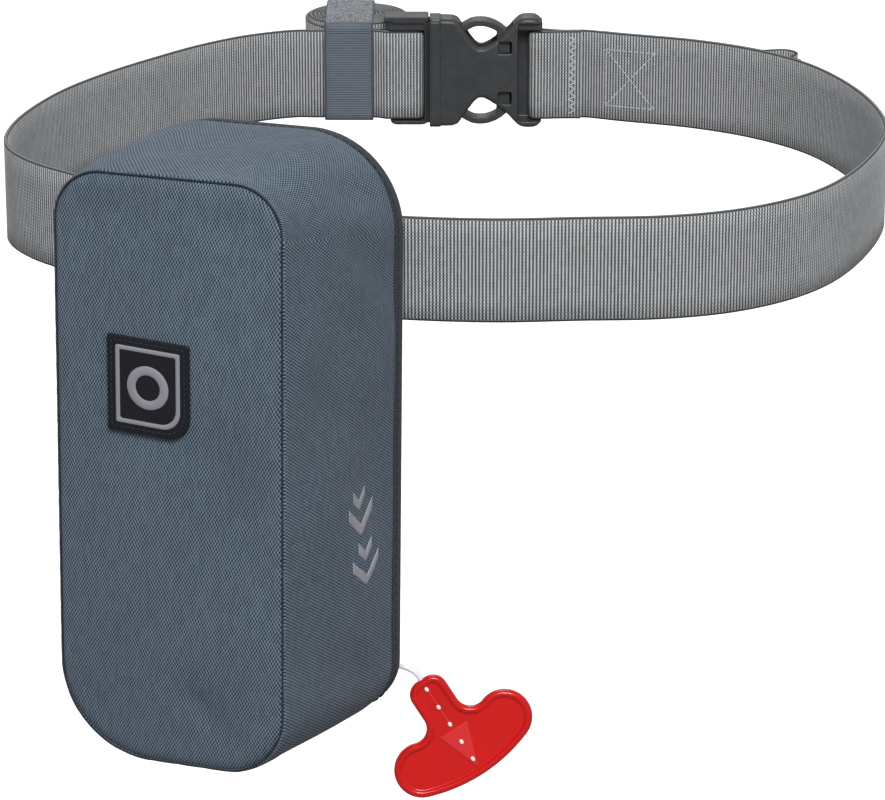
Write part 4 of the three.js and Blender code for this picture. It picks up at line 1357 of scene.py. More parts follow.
@dataclass
class Buckle:
    """Both halves of the buckle, rounded at every edge as a mould leaves them."""

    run: BackRun = field(default_factory=BackRun)
    raised: float = 1.6
    voxel: float = 0.36
    weld_metres: float = 2e-6
    softening: float = 0.5
    softening_passes: int = 6
    lip: tuple[float, float, float, float] = (-5.4, 4.4, 22.9, 6.25)
    lip_stand: float = 0.8
    lip_rooted: float = 0.6
    lip_trims: tuple[float, float, float] = (1.6, 1.4, 0.1)
    lip_side: float = 1.2
    socket_fills: tuple[Block, ...] = (
        Block((26.2, 4.6, 10.8), (7.4, 1.6, 7.0)),
        Block((26.2, 4.6, -10.8), (7.4, 1.6, 7.0)),
        Block((36.6, 4.5, 0.0), (10.8, 1.5, 42.0)),
        Block((36.6, 0.0, 19.7), (10.6, 9.4, 3.6)),
    )
    prong_fills: tuple[Block, ...] = (
        Block((-7.6, 4.5, 0.0), (2.6, 1.0, 42.0)),
        Block((-15.0, 0.0, 19.6), (15.4, 8.4, 3.6)),
        Block((-15.2, 0.0, 22.9), (18.6, 10.6, 2.4)),
        Block((-5.2, 0.0, 19.3), (3.2, 8.4, 5.0)),
        Block((-5.2, 0.0, -19.3), (3.2, 8.4, 5.0)),
    )

    def softened(self, node: str, name: str, extras: Sequence[Block]) -> bpy.types.Object:
        """A rounded copy of a CAD node joined with small added blocks.

        Args:
            node: the CAD node.
            name: the new piece's name.
            extras: the added blocks.

        Returns:
            The new object.
        """
        work = bmesh.new()
        work.from_mesh(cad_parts[node].data)
        bmesh.ops.remove_doubles(work, verts=work.verts, dist=self.weld_metres)
        place = self.run.matrix(self.raised)
        for block in extras:
            fit = place @ Matrix.Translation(Vector(block.middle)) @ Matrix.Diagonal((*block.size, 1.0))
            metres = Matrix.Diagonal((MM, MM, MM, 1.0)) @ fit
            bmesh.ops.create_cube(work, size=1.0, matrix=metres)
        mesh = bpy.data.meshes.new(name)
        work.to_mesh(mesh)
        work.free()
        thing = shown(name, mesh)
        remesh = thing.modifiers.new("mould", "REMESH")
        remesh.mode = "VOXEL"
        remesh.voxel_size = self.voxel * MM
        soften = thing.modifiers.new("edges", "SMOOTH")
        soften.factor = self.softening
        soften.iterations = self.softening_passes
        evaluated = thing.evaluated_get(bpy.context.evaluated_depsgraph_get())
        final = bpy.data.meshes.new_from_object(evaluated)
        thing.modifiers.clear()
        thing.data = final
        final.shade_smooth()
        return thing

    def lip_blocks(self) -> list[Block]:
        """The raised lip round the socket's mouth.

        Returns:
            The lip's blocks.
        """
        start, width, half, depth = self.lip
        middle, stand, rooted = start + width / 2, self.lip_stand, self.lip_rooted
        face_trim, side_trim, drawn_in = self.lip_trims
        blocks = []
        for side in (1, -1):
            face = (middle, side * (depth + stand / 2 - rooted / 2), 0)
            blocks.append(Block(face, (width, stand + rooted, 2 * half - face_trim)))
            edge = (middle, 0, side * (half - drawn_in))
            blocks.append(Block(edge, (width, 2 * depth - side_trim, self.lip_side)))
        return blocks

    def build(self) -> None:
        """Makes both halves."""
        socket = self.softened("buckle_female", "buckle_socket", [*self.lip_blocks(), *self.socket_fills])
        settle(socket, BUCKLE_PLASTIC, Slot.BUCKLE, "buckle_female")
        prongs = self.softened("buckle_male", "buckle_prongs", self.prong_fills)
        settle(prongs, BUCKLE_PLASTIC, Slot.BUCKLE, "buckle_male")


# Pouch


@dataclass(frozen=True)
class Steps:
    """How many points an outline has on each corner, level side and upright side."""

    corner: int
    across: int
    up: int


@dataclass(frozen=True)
class Face:
    """Outline of one face of the pouch, in millimetres. Radii run from the top right, anticlockwise."""

    width: float
    height: float
    drop: float
    radii: tuple[float, float, float, float]


def rounded_outline(width: float, height: float, radii: Sequence[float], steps: Steps) -> tuple[Array, Array]:
    """Rounded rectangle about the middle, with points along its sides too.

    Args:
        width: whole width.
        height: whole height.
        radii: corner radii from the top right, anticlockwise.
        steps: how many points there are.

    Returns:
        The points and the outward normals, two numbers each.
    """
    points, normals = [], []
    signs = ((1, 1, 0), (-1, 1, 90), (-1, -1, 180), (1, -1, 270))
    for radius, (right, up, from_deg) in zip(radii, signs):
        angle = np.radians(np.linspace(from_deg, from_deg + 90, steps.corner))
        way = np.stack([np.cos(angle), np.sin(angle)], axis=1)
        points.append(way * radius + [right * (width / 2 - radius), up * (height / 2 - radius)])
        normals.append(way)
    ring_points, ring_normals = [], []
    for index, (corner, way) in enumerate(zip(points, normals)):
        count = steps.up if index % 2 else steps.across
        share = np.linspace(0, 1, count + 2)[1:-1, None]
        ring_points += [corner, mix(corner[-1:], points[(index + 1) % 4][:1], share)]
        ring_normals += [way, np.repeat(way[-1:], count, axis=0)]
    return np.concatenate(ring_points), np.concatenate(ring_normals)


@dataclass(frozen=True)
class Wave:
    """One slow wave over the pouch: its way for each millimetre, its phase and its share of the whole."""

    way: Point
    phase: float
    size: float


@dataclass(frozen=True)
class Dents:
    """Slow soft dents of filled cloth."""

    depth: float = 1.3
    stretch: float = 1.7
    waves: tuple[Wave, ...] = (
        Wave((0.031, 0.047, 0.023), 0.4, 0.35), Wave((-0.052, 0.021, 0.041), 1.9, 0.25),
        Wave((0.017, -0.083, 0.035), 3.3, 0.2), Wave((0.074, 0.033, -0.061), 5.1, 0.2),
    )

    def rise(self, points: Array) -> Array:
        """How far the dents lift or sink the cloth at each point.

        Args:
            points: places in the pouch's frame.

        Returns:
            The rise at each point, in millimetres.
        """
        total = np.zeros(points.shape[:-1])
        for wave in self.waves:
            total += wave.size * np.sin(points @ np.array(wave.way) * self.stretch + wave.phase)
        return self.depth * total


@dataclass(frozen=True)
class Gathers:
    """Small gathers that a seam draws into cloth: strong at the seam and gone past its reach."""

    height: float = 0.05
    reach: float = 6.0
    start: float = 0.4
    pitch: float = 8.3
    drift: Pair = (1.3, 17.0)
    fine_pitch: float = 4.9
    fine_share: float = 0.5
    fine_phase: float = 2.0

    def rise(self, along: Array, distance: Array) -> Array:
        """How far the gathers lift the cloth at a length along the seam and a distance from it.

        Args:
            along: lengths along the seam.
            distance: distances from the seam.

        Returns:
            The rise at each point, in millimetres.
        """
        sway, length = self.drift
        broad = np.sin(along * math.tau / self.pitch + sway * np.sin(along / length))
        fine = np.sin(along * math.tau / self.fine_pitch + self.fine_phase)
        fading = np.exp(-np.maximum(distance, 0) / self.reach)
        return self.height * ((broad + self.fine_share * fine) * fading)


@dataclass(frozen=True)
class Fold:
    """Soft valley in the pouch's cloth between two places of the pouch's frame, in millimetres."""

    start: Point
    end: Point
    depth: float
    width: float
    ends: Pair = (0.12, 0.88)

    def dip(self, points: Array) -> Array:
        """Depth of the valley at each point.

        Args:
            points: places in the pouch's frame.

        Returns:
            The depth at each point, in millimetres.
        """
        start, run = np.array(self.start), np.array(self.end) - np.array(self.start)
        share = np.clip((points - start) @ run / (run @ run), 0, 1)
        away = np.linalg.norm(points - start - share[..., None] * run, axis=-1)
        return self.depth * np.exp(-((away / self.width) ** 2)) * np.sin(math.pi * mix(*self.ends, share))


@dataclass(frozen=True)
class Chevron:
    """Printed arrow that points down: place of its notch on the wall, and its sizes in millimetres."""

    from_front: float
    notch: float
    half_width: float
    rise: float
    thickness: float


@dataclass(frozen=True)
class SeamShadeLine:
    """Dark sewn line round the front panel, partly thread and partly painted shade of the seam's groove: its
    inset, how deep it lies and its thread, in millimetres.
    """

    inset: float = 0.75
    sunk: float = 1.05
    radius: float = 0.3
    pitch: float = 1.9
    twist: float = 0.15
    sides: int = 6


@dataclass(frozen=True)
class BeltLoop:
    """Loop on the back panel that the belt runs through, in millimetres."""

    belt_half: float = 19.0
    margin: float = 2.4
    stand: float = 6.6
    thickness: float = 1.3
    pressed: float = 0.1
    clear: float = 0.3
    slope: float = 5.3
    foot: float = 12.0
    shoulder: tuple[Pair, ...] = ((0.4, 0.2), (0.85, 0.8), (1.4, 1.0))
    width: float = 20.0
    rib_pitch: float = 1.1
    rib_height: float = 0.06
    step: float = 0.275
    tack: Stitch = Stitch(5.2, 0.6, 0.05)
    tack_spread: float = 5.5
    tack_levels: tuple[float, ...] = (-35.5, -30.0, 30.0, 35.5)

    @property
    def sewn(self) -> float:
        """How far the sewn feet's middle line lies from the panel."""
        return self.clear + self.thickness / 2

    def strap(self) -> Skin:
        """The loop's strap, arched over the belt.

        Returns:
            The strap's skin.
        """
        edge = self.belt_half + self.margin
        upper = [(self.sewn, edge + self.slope + self.foot), (self.sewn, edge + self.slope)]
        for down, out in self.shoulder:
            upper.append((self.sewn + self.stand * out, edge + self.slope * (1 - down)))
        line = np.concatenate([upper, np.array(upper)[::-1] * [1, -1]])
        path = rounded_path(np.stack([np.zeros(len(line)), line[:, 0], line[:, 1]], axis=1))
        strap = Strap(self.width, self.thickness - self.pressed, self.rib_pitch, self.rib_height)
        return strap.skin(path, RIGHT, np.arange(0, lengths_along(path)[-1], self.step))

    def tacks(self) -> Skin:
        """Bar tacks on both feet.

        Returns:
            The tacks' skin.
        """
        places = [(side * self.tack_spread, level) for level in self.tack_levels for side in (-1, 0, 1)]
        spots = standing(np.array(places), self.sewn + self.thickness / 2)
        return self.tack.sew(spots, RIGHT, REARWARD)


@dataclass
class Pouch:
    """Hollow cloth pouch: front panel, side wall, back panel, binding, belt loops and print."""

    front: Face = Face(83.6, 208.8, 57.0, (17.7, 17.7, 34.0, 23.0))
    back: Face = Face(104.6, 211.0, 56.6, (34.0, 36.5, 18.9, 18.9))
    steps: Steps = Steps(26, 38, 96)
    depth: float = 82.8
    skew: float = 0.8
    lean_deg: float = 1.7
    middle_x: float = -22.0725
    rear_y: float = -151.55
    cloth: float = 1.3
    fill: float = 0.9
    side_crown: float = 1.9
    front_crown: float = 1.6
    seam_dip: float = 1.0
    fade_front: float = 14.0
    fade_back: float = 16.0
    dents: Dents = Dents()
    gathers: Gathers = Gathers()
    folds: tuple[Fold, ...] = (
        Fold((48, -48, 40), (52.5, -10, 30), 2.2, 6),
        Fold((52, -44, 24), (54, -9, -6), 2.0, 7),
        Fold((51, -66, -30), (54, -24, -52), 1.2, 9),
        Fold((53, -70, -118), (54, -20, -146), 1.6, 8),
        Fold((4, -84, -132), (28, -84, -154), 2.5, 5.5),
        Fold((-37, -84, -134), (-20, -84, -155), 1.5, 5),
        Fold((-34, -84, 28), (-10, -84, 40), 1.1, 6),
        Fold((6, -84, 38), (28, -84, 28), 1.0, 6),
        Fold((12, -84, -40), (30, -84, -72), 1.0, 9),
        Fold((-22, -62, 52), (12, -30, 54), 1.2, 9),
        Fold((-30, -50, -166), (10, -30, -166), 1.4, 9),
    )
    front_tuck: tuple[Pair, ...] = ((-81.3, 1.1), (-81.5, 0.62), (-81.35, 0.28), (-80.8, 0.08))
    tuck_turned: int = 3
    tuck_room: float = 0.9
    wall_reach: Pair = (-79.8, -7.4)
    wall_rows: int = 52
    wall_end: Pair = (-6.9, 0.1)
    panel_margin: float = 0.7
    panel_half: float = 42.0
    panel_fade: float = 10.0
    panel_dent_share: float = 0.8
    panel_edge: float = 0.99
    panel_inner: tuple[float, float, int] = (0.08, 0.9, 22)
    panel_middle: float = 0.02
    panel_rings: tuple[float, ...] = (0.925, 0.945, 0.96, 0.972, 0.982, 0.99, 0.996, 1.0)
    crown_profile: tuple[Pair, ...] = (
        (0.0, 1.0), (0.25, 0.97), (0.55, 0.8), (0.82, 0.42), (0.955, 0.05), (0.975, -0.18), (0.988, -0.55),
        (1.0, -1.1),
    )
    back_inset: float = 1.1
    back_rings: tuple[float, ...] = (0.03, 0.3, 0.6, 0.85, 0.97, 1.0)
    back_faces: Pair = (-2.0, -0.1)
    binding_section: tuple[Pair, ...] = (
        (0.6, -6.75), (0.0, -6.72), (-0.2, -6.3), (-0.28, -5.0), (-0.3, -3.0), (-0.22, -1.0), (-0.05, -0.1),
        (0.35, 0.12), (2.5, 0.16), (4.4, 0.14), (4.9, 0.04), (4.2, -0.04), (1.0, -0.06), (1.0, -2.1),
        (1.9, -2.4), (1.9, -6.4),
    )
    binding_wobble: Pair = (0.08, 0.9)
    binding_measured: int = 3
    binding_front: float = -4.0
    binding_seams: tuple[tuple[float, float, bool], ...] = ((-0.31, -5.4, True), (3.9, 0.17, False))
    binding_thread: Stitch = Stitch(2.7, 0.4, 0.05)
    binding_pitch: float = 3.4
    seam: SeamShadeLine = SeamShadeLine()
    loop: BeltLoop = BeltLoop()
    loop_places: tuple[tuple[str, float], ...] = (("left", -21.0), ("right", 21.0))
    chevrons: tuple[Chevron, ...] = (
        Chevron(50.4, -74.1, 4.7, 4.1, 4.2),
        Chevron(51.2, -83.0, 9.2, 7.6, 4.7),
        Chevron(53.1, -93.2, 4.9, 4.0, 4.2),
        Chevron(53.2, -102.0, 9.7, 7.2, 4.3),
    )
    print_levels: Pair = (0.05, 0.14)
    print_steps: tuple[int, int] = (12, 4)

    def matrix(self) -> Matrix:
        """Placement of the pouch's own frame, in millimetres."""
        lean = Matrix.Rotation(-math.radians(self.lean_deg), 4, "X")
        return Matrix.Translation((self.middle_x, self.rear_y, 0)) @ lean

    def crown_at(self, share: Number) -> Number:
        """How far the wall's crown stands out at a share of the depth."""
        return self.side_crown * 4 * share * (1 - share)

    def ring(self, share: float, inset: float = 0.0) -> tuple[Array, Array]:
        """Outline at a share of the depth.

        Args:
            share: 0 at the front and 1 at the back.
            inset: how far it is drawn in.

        Returns:
            The points and the outward normals, both across and up.
        """
        crown = self.crown_at(share) - inset
        front, back = self.front, self.back
        radii = [max(mix(near, far, share) + crown, 0.5) for near, far in zip(front.radii, back.radii)]
        width, height, drop = (
            mix(near, far, share)
            for near, far in ((front.width, back.width), (front.height, back.height), (front.drop, back.drop))
        )
        points, normals = rounded_outline(width + 2 * crown, height + 2 * crown, radii, self.steps)
        return points + [self.skew * share, -drop], normals

    def dip(self, points: Array) -> Array:
        """Depth of all the folds at each point."""
        return sum(fold.dip(points) for fold in self.folds)

    def swell(self, points: Array) -> Array:
        """How far the wall's cloth stands out from its plain form, in millimetres.

        Args:
            points: places in the pouch's frame.

        Returns:
            The rise at each point.
        """
        from_front = points[..., 1] + self.depth - self.seam_dip
        fade = np.clip(np.minimum(from_front / self.fade_front, -points[..., 1] / self.fade_back), 0, 1)
        gathers = self.gathers.rise(points[..., 0] + points[..., 2], from_front)
        past_seam = from_front > self.gathers.start
        return (self.dents.rise(points) - self.dip(points)) * fade + gathers * past_seam

    def wall_row(self, y: float, inset: float) -> Array:
        """One row of the side wall at a depth, drawn in by an inset, with its dents and gathers.

        Args:
            y: the row's depth.
            inset: how far it is drawn in.

        Returns:
            The row's points, in millimetres.
        """
        flat, normals = self.ring((y + self.depth) / self.depth)
        points = standing(flat, y)
        return points + (self.swell(points) - inset)[:, None] * standing(normals, 0.0)

    def build_wall(self) -> None:
        """Makes the side wall as a thin closed sleeve, tucked in at the front seam."""
        straight = [(float(y), 0.0) for y in np.linspace(*self.wall_reach, self.wall_rows)]
        rows = [*self.front_tuck, *straight, self.wall_end]
        outside = np.stack([self.wall_row(y, inset) for y, inset in rows])
        inside = np.stack([self.wall_row(y, inset + self.cloth) for y, inset in rows])
        inside[:self.tuck_turned, :, 1] += self.tuck_room
        depths = np.array([y for y, _ in rows])
        skin = Skin().add_grid(
            np.concatenate([outside, inside[::-1]]), np.concatenate([depths, depths[::-1], depths[:1]]),
            round_lengths(outside[len(rows) // 2]), close_rows=True, close_cols=True,
        )
        piece = skin.build("pouch_side", self.matrix())
        settle(piece, SIDE_CLOTH, Slot.POUCH, "side_wall", fill=self.fill)

    def front_row(self, outline: Array, size: float) -> Array:
        """One ring of the front panel's outer face, at a share of its outline.

        Args:
            outline: the panel's outline, across and up.
            size: share of the outline, 1 at the edge.

        Returns:
            The ring's points.
        """
        points = standing(outline * size + [0, -self.front.drop], -self.depth)
        away = (1 - size) * self.panel_half
        sizes, stands = np.array(self.crown_profile).T
        crown = float(np.interp(size, sizes, stands)) * self.front_crown
        dents = self.dents.rise(points) * self.panel_dent_share
        soft = (dents - self.dip(points)) * min(away / self.panel_fade, 1.0)
        gathers = self.gathers.rise(outline[:, 0] + outline[:, 1], np.full(len(outline), away))
        points[:, 1] -= crown + soft + gathers * (size < self.panel_edge)
        return points

    def build_front(self) -> None:
        """Makes the crowned front panel, its edge drawn into the seam."""
        trim = 2 * self.panel_margin
        outline, _ = rounded_outline(
            self.front.width - trim, self.front.height - trim, self.front.radii, self.steps,
        )
        sizes = [self.panel_middle, *np.linspace(*self.panel_inner), *self.panel_rings]
        outside = np.stack([self.front_row(outline, size) for size in sizes])
        inside = outside + REARWARD * self.cloth
        rows = np.concatenate([inside, outside[::-1]])
        skin = Skin().add_grid(rows, close_cols=True, caps=True, by_place=True)
        piece = skin.build("pouch_front", self.matrix())
        settle(piece, POUCH_CLOTH, Slot.POUCH, "front_panel", fill=self.fill)

    def build_seam_shade(self) -> None:
        """Makes the dark sewn line in the groove round the front panel: thread, whose dark colour also paints
        the groove's shade.
        """
        seam = self.seam
        around = lengths_along(self.ring(0.0)[0])
        thick = seam.radius * (1 + seam.twist * np.sin(around * math.tau / seam.pitch))
        rows = []
        for angle in np.arange(seam.sides) * math.tau / seam.sides:
            flat, normals = self.ring(0.0, seam.inset)
            flat = flat + normals * (thick * math.cos(angle))[:, None]
            rows.append(standing(flat, seam.sunk - self.depth + thick * math.sin(angle)))
        across = np.arange(seam.sides + 1) * seam.radius
        along = np.append(around, around[-1] + 1)
        skin = Skin().add_grid(np.stack(rows), across, along, close_rows=True, close_cols=True)
        # The dark thread here is partly painted shade of the seam's groove.
        settle(skin.build("front_seam_shade", self.matrix()), DARK_THREAD, Slot.BINDING)

    def build_back(self) -> None:
        """Makes the back panel, flat where it lies on the belt."""
        outer, _ = self.ring(1.0, self.back_inset)
        middle = np.array([self.skew, -self.back.drop])
        near, far = self.back_faces
        rows = [standing((outer - middle) * size + middle, near) for size in self.back_rings]
        rows += [standing((outer - middle) * size + middle, far) for size in self.back_rings[::-1]]
        skin = Skin().add_grid(np.stack(rows), close_cols=True, caps=True, by_place=True)
        settle(skin.build("pouch_back", self.matrix()), POUCH_CLOTH, Slot.POUCH, "back_panel")

    def build_binding(self) -> None:
        """Makes the tape that binds the back panel's edge."""
        size, turns = self.binding_wobble
        rows = []
        for inset, y in self.binding_section:
            flat, _ = self.ring(1.0, inset)
            wobble = size * np.sin((flat[:, 0] + flat[:, 1]) * turns)
            rows.append(standing(flat, y + wobble * (y < self.binding_front)))
        through = lengths_along(np.array(self.binding_section + self.binding_section[:1]))
        along = round_lengths(rows[self.binding_measured])
        skin = Skin().add_grid(np.stack(rows), through, along, close_rows=True, close_cols=True)
        settle(skin.build("edge_binding", self.matrix()), BINDING_TWILL, Slot.BINDING, "back_binding")

    def build_binding_stitch(self) -> None:
        """Sews the tape down along its front edge and along the back face."""
        skin = Skin()
        for inset, y, on_edge in self.binding_seams:
            path = standing(self.ring(1.0, inset)[0], y)
            places, along = stitch_places(np.concatenate([path, path[:1]]), self.binding_pitch)
            normal = REARWARD
            if on_edge:
                normal = unit(np.cross(along, REARWARD))
                middle = np.array([self.skew, y, -self.back.drop])
                normal *= np.sign(np.sum(normal * (places - middle), axis=1, keepdims=True))
            skin.add_skin(self.binding_thread.sew(places, along, normal))
        settle(skin.build("binding_stitch", self.matrix()), DARK_THREAD, Slot.BINDING)

    def build_loops(self) -> None:
        """Makes the two belt loops on the back panel, with bar tacks."""
        for name, across in self.loop_places:
            place = self.matrix() @ Matrix.Translation((across, 0, 0))
            loop = self.loop.strap().build(f"waist_loop_{name}", place)
            settle(loop, BINDING_TWILL, Slot.BINDING, f"belt_loop_{name}")
            settle(self.loop.tacks().build(f"loop_tack_{name}", place), DARK_THREAD, Slot.BINDING)

    def side_point(self, share: Array, height: Array, out: float) -> Array:
        """Places on the right straight side of the wall.

        Args:
            share: shares of the depth.
            height: heights in the pouch's frame.
            out: distance out from the cloth.

        Returns:
            The places, in millimetres.
        """
        half = mix(self.front.width, self.back.width, share) / 2 + self.crown_at(share) + self.skew * share
        points = np.stack([half, (share - 1) * self.depth, height], axis=-1)
        points[..., 0] += self.swell(points) + out
        return points

    def build_print(self) -> None:
        """Prints the grey chevrons that point down along the right side."""
        skin = Skin()
        spans = [np.linspace(0, 1, count) for count in self.print_steps]
        share, across = np.meshgrid(*spans, indexing="ij")
        for mark in self.chevrons:
            for side in (-1, 1):
                depth = (mark.from_front + side * mark.half_width * (1 - share)) / self.depth
                height = mark.notch + mark.rise * (1 - share) - mark.thickness * across
                under, over = (self.side_point(depth, height, out) for out in self.print_levels)
                grid = np.concatenate([under[:, :1], over, under[:, -1:]], axis=1)
                corners = grid.reshape(-1, 3)
                faces = lattice_faces(grid.shape[0], grid.shape[1], False, True)
                skin.add(corners, faces, corners[faces.ravel()][:, [1, 2]])
                skin.add(grid[0], [range(len(grid[0]))])
        settle(skin.build("pull_print", self.matrix(), weld=True), PRINT_INK, Slot.POUCH)

    def build(self) -> None:
        """Makes every piece of the pouch."""
        self.build_wall()
        self.build_front()
        self.build_seam_shade()
        self.build_back()
        self.build_binding()
        self.build_binding_stitch()
        self.build_loops()
        self.build_print()


@dataclass
class Patch:
    """Rubber patch on the front panel, with its sewn edge, raised frame and plain ring."""

    pouch: Pouch
    width: float = 30.0
    height: float = 33.6
    thickness: float = 1.1
    radii: tuple[float, float, float, float] = (1.1, 1.1, 1.1, 8.5)
    steps: Steps = Steps(10, 20, 20)
    across: float = -5.9
    up: float = 31.7
    slant: float = -0.062
    clear: float = 0.3
    base_rows: tuple[Pair, ...] = ((0.4, 1.1), (0.0, 0.85), (0.0, 0.35), (0.12, 0.1), (0.4, 0.0), (1.0, 0.0))
    frame_rows: tuple[Pair, ...] = (
        (3.2, 0.0), (3.25, -0.3), (3.5, -0.45), (4.5, -0.45), (4.75, -0.3), (4.8, 0.0),
    )
    ring_rows: tuple[Pair, ...] = (
        (7.6, 0.0), (7.55, -0.3), (7.3, -0.45), (4.7, -0.45), (4.45, -0.3), (4.4, 0.0), (7.6, 0.0),
    )
    ring_steps: int = 64
    thread: Stitch = Stitch(1.5, 0.5, 0.1)
    thread_inset: float = 1.7
    thread_lift: float = 0.02
    thread_pitch: float = 1.9

    @property
    def face(self) -> float:
        """Depth of the patch's outer face in its own frame."""
        return -self.thickness / 2

    def matrix(self) -> Matrix:
        """Placement of the patch, in millimetres.

        Returns:
            The placement.
        """
        pouch = self.pouch
        depth = -pouch.depth - pouch.front_crown - self.clear - self.thickness / 2
        slanted = Matrix(((1, 0, 0, 0), (0, 1, 0, 0), (self.slant, 0, 1, 0), (0, 0, 0, 1)))
        shift = Matrix.Translation((self.across, depth, self.up - pouch.front.drop))
        return pouch.matrix() @ shift @ slanted

    def outlines(self, rows: Sequence[Pair]) -> Array:
        """Outlines of the patch at insets, and at depths behind its outer face.

        Args:
            rows: inset and depth of each outline.

        Returns:
            One outline for each pair.
        """
        made = []
        for inset, y in rows:
            radii = [radius * (1 - inset / (self.width / 2)) for radius in self.radii]
            flat, _ = rounded_outline(self.width - 2 * inset, self.height - 2 * inset, radii, self.steps)
            made.append(standing(flat, self.face + y))
        return np.stack(made)

    def build(self) -> None:
        """Makes the patch, its relief and its sewn edge."""
        place = self.matrix()
        base = Skin().add_grid(self.outlines(self.base_rows), close_cols=True, caps=True)
        settle(base.build("patch_base", place), PATCH_RUBBER, Slot.PATCH, "front_patch")
        raised = self.outlines(self.frame_rows)
        ring = [standing(circle(self.ring_steps) * radius, self.face + y) for radius, y in self.ring_rows]
        relief = Skin().add_grid(np.concatenate([raised, raised[:1]]), close_cols=True)
        relief.add_grid(np.stack(ring), close_cols=True)
        settle(relief.build("patch_relief", place, weld=True), PATCH_GREY, Slot.PATCH)
        edge = self.outlines([(self.thread_inset, -self.thread_lift)])[0]
        places, along = stitch_places(np.concatenate([edge, edge[:1]]), self.thread_pitch)
        sewn = self.thread.sew(places, along, -REARWARD)
        settle(sewn.build("patch_stitch", place), DARK_THREAD, Slot.PATCH)


# Pull cord and handle


@dataclass
class PullCord:
    """Coated cord from the eyelet in the back panel to the handle's neck, in millimetres."""

    diameter: float = 2.0
    route: tuple[Point, ...] = (
        (9.5, -156.95, -145), (9.57, -155.73, -145), (9.76, -154.16, -145.1), (10.24, -152.59, -145.3),
        (11.38, -151.19, -145.8), (13.05, -149.83, -146.5), (15.12, -148.76, -147.3), (17.3, -147.85, -148.1),
        (19.62, -147.16, -148.8), (21.95, -146.67, -149.4), (24.26, -146.24, -149.9), (26.5, -145.88, -150.3),
        (28.74, -145.61, -150.7), (30.78, -145.4, -151.3), (32.62, -145.18, -152.3), (34.16, -145.06, -153.7),
        (35.3, -145.05, -155.45),
    )
    curve_steps: int = 20
    points: int = 40
    bevel_steps: int = 5
    eyelet_bore: float = 1.3
    eyelet_radius: float = 4.0
    eyelet_thickness: float = 1.4
    eyelet_clear: float = 0.3
    eyelet_steps: int = 48

    def build_eyelet(self, pouch: Pouch) -> None:
        """Makes the rounded metal ring where the cord leaves the back panel.

        Args:
            pouch: the pouch whose back panel it sits in.
        """
        bore, radius, thick = self.eyelet_bore, self.eyelet_radius, self.eyelet_thickness
        section = (
            (bore, 0.0), (radius - 0.1, 0.0), (radius, 0.25), (radius - 0.25, 0.65), (radius - 0.8, 1.05),
            (bore + 1.0, thick), (bore + 0.35, thick - 0.08), (bore, thick - 0.4),
        )
        grid = np.stack([standing(circle(self.eyelet_steps) * r, y + self.eyelet_clear) for r, y in section])
        across = self.route[0][0] - pouch.middle_x
        up = self.route[0][2] / math.cos(math.radians(pouch.lean_deg))
        place = pouch.matrix() @ Matrix.Translation((across, 0, up))
        piece = Skin().add_grid(grid, close_rows=True, close_cols=True).build("eyelet_ring", place)
        settle(piece, EYELET_METAL, Slot.EYELET, "cord_eyelet")

    def build(self, with_pieces: Sequence[bpy.types.Object]) -> None:
        """Args:
            with_pieces: the handle and what is on it. Not used.
        """
        dense = catmull_rom(np.array(self.route), self.curve_steps)
        total = float(lengths_along(dense)[-1])
        points = resampled(dense, np.linspace(0, total, self.points)) * MM
        data = bpy.data.curves.new("pull_cord_line", "CURVE")
        data.dimensions = "3D"
        data.bevel_depth = self.diameter / 2 * MM
        data.bevel_resolution = self.bevel_steps
        data.use_fill_caps = True
        line = data.splines.new("POLY")
        line.points.add(len(points) - 1)
        line.points.foreach_set("co", np.column_stack([points, np.ones(len(points))]).ravel())
        line.use_smooth = True
        cord = settle(shown("pull_cord_line", data), CORD_COATING, Slot.CORD, "pull_cord")


@dataclass(frozen=True)
class Arc:
    """Arc of the handle's outline: middle, radius, start and stop in degrees, and its points."""

    x: float
    y: float
    radius: float
    start: float
    stop: float
    points: int

    def trace(self) -> Array:
        """The arc's points, two numbers each."""
        angle = np.radians(np.linspace(self.start, self.stop, self.points))
        return np.stack([self.x + self.radius * np.cos(angle), self.y + self.radius * np.sin(angle)], axis=1)


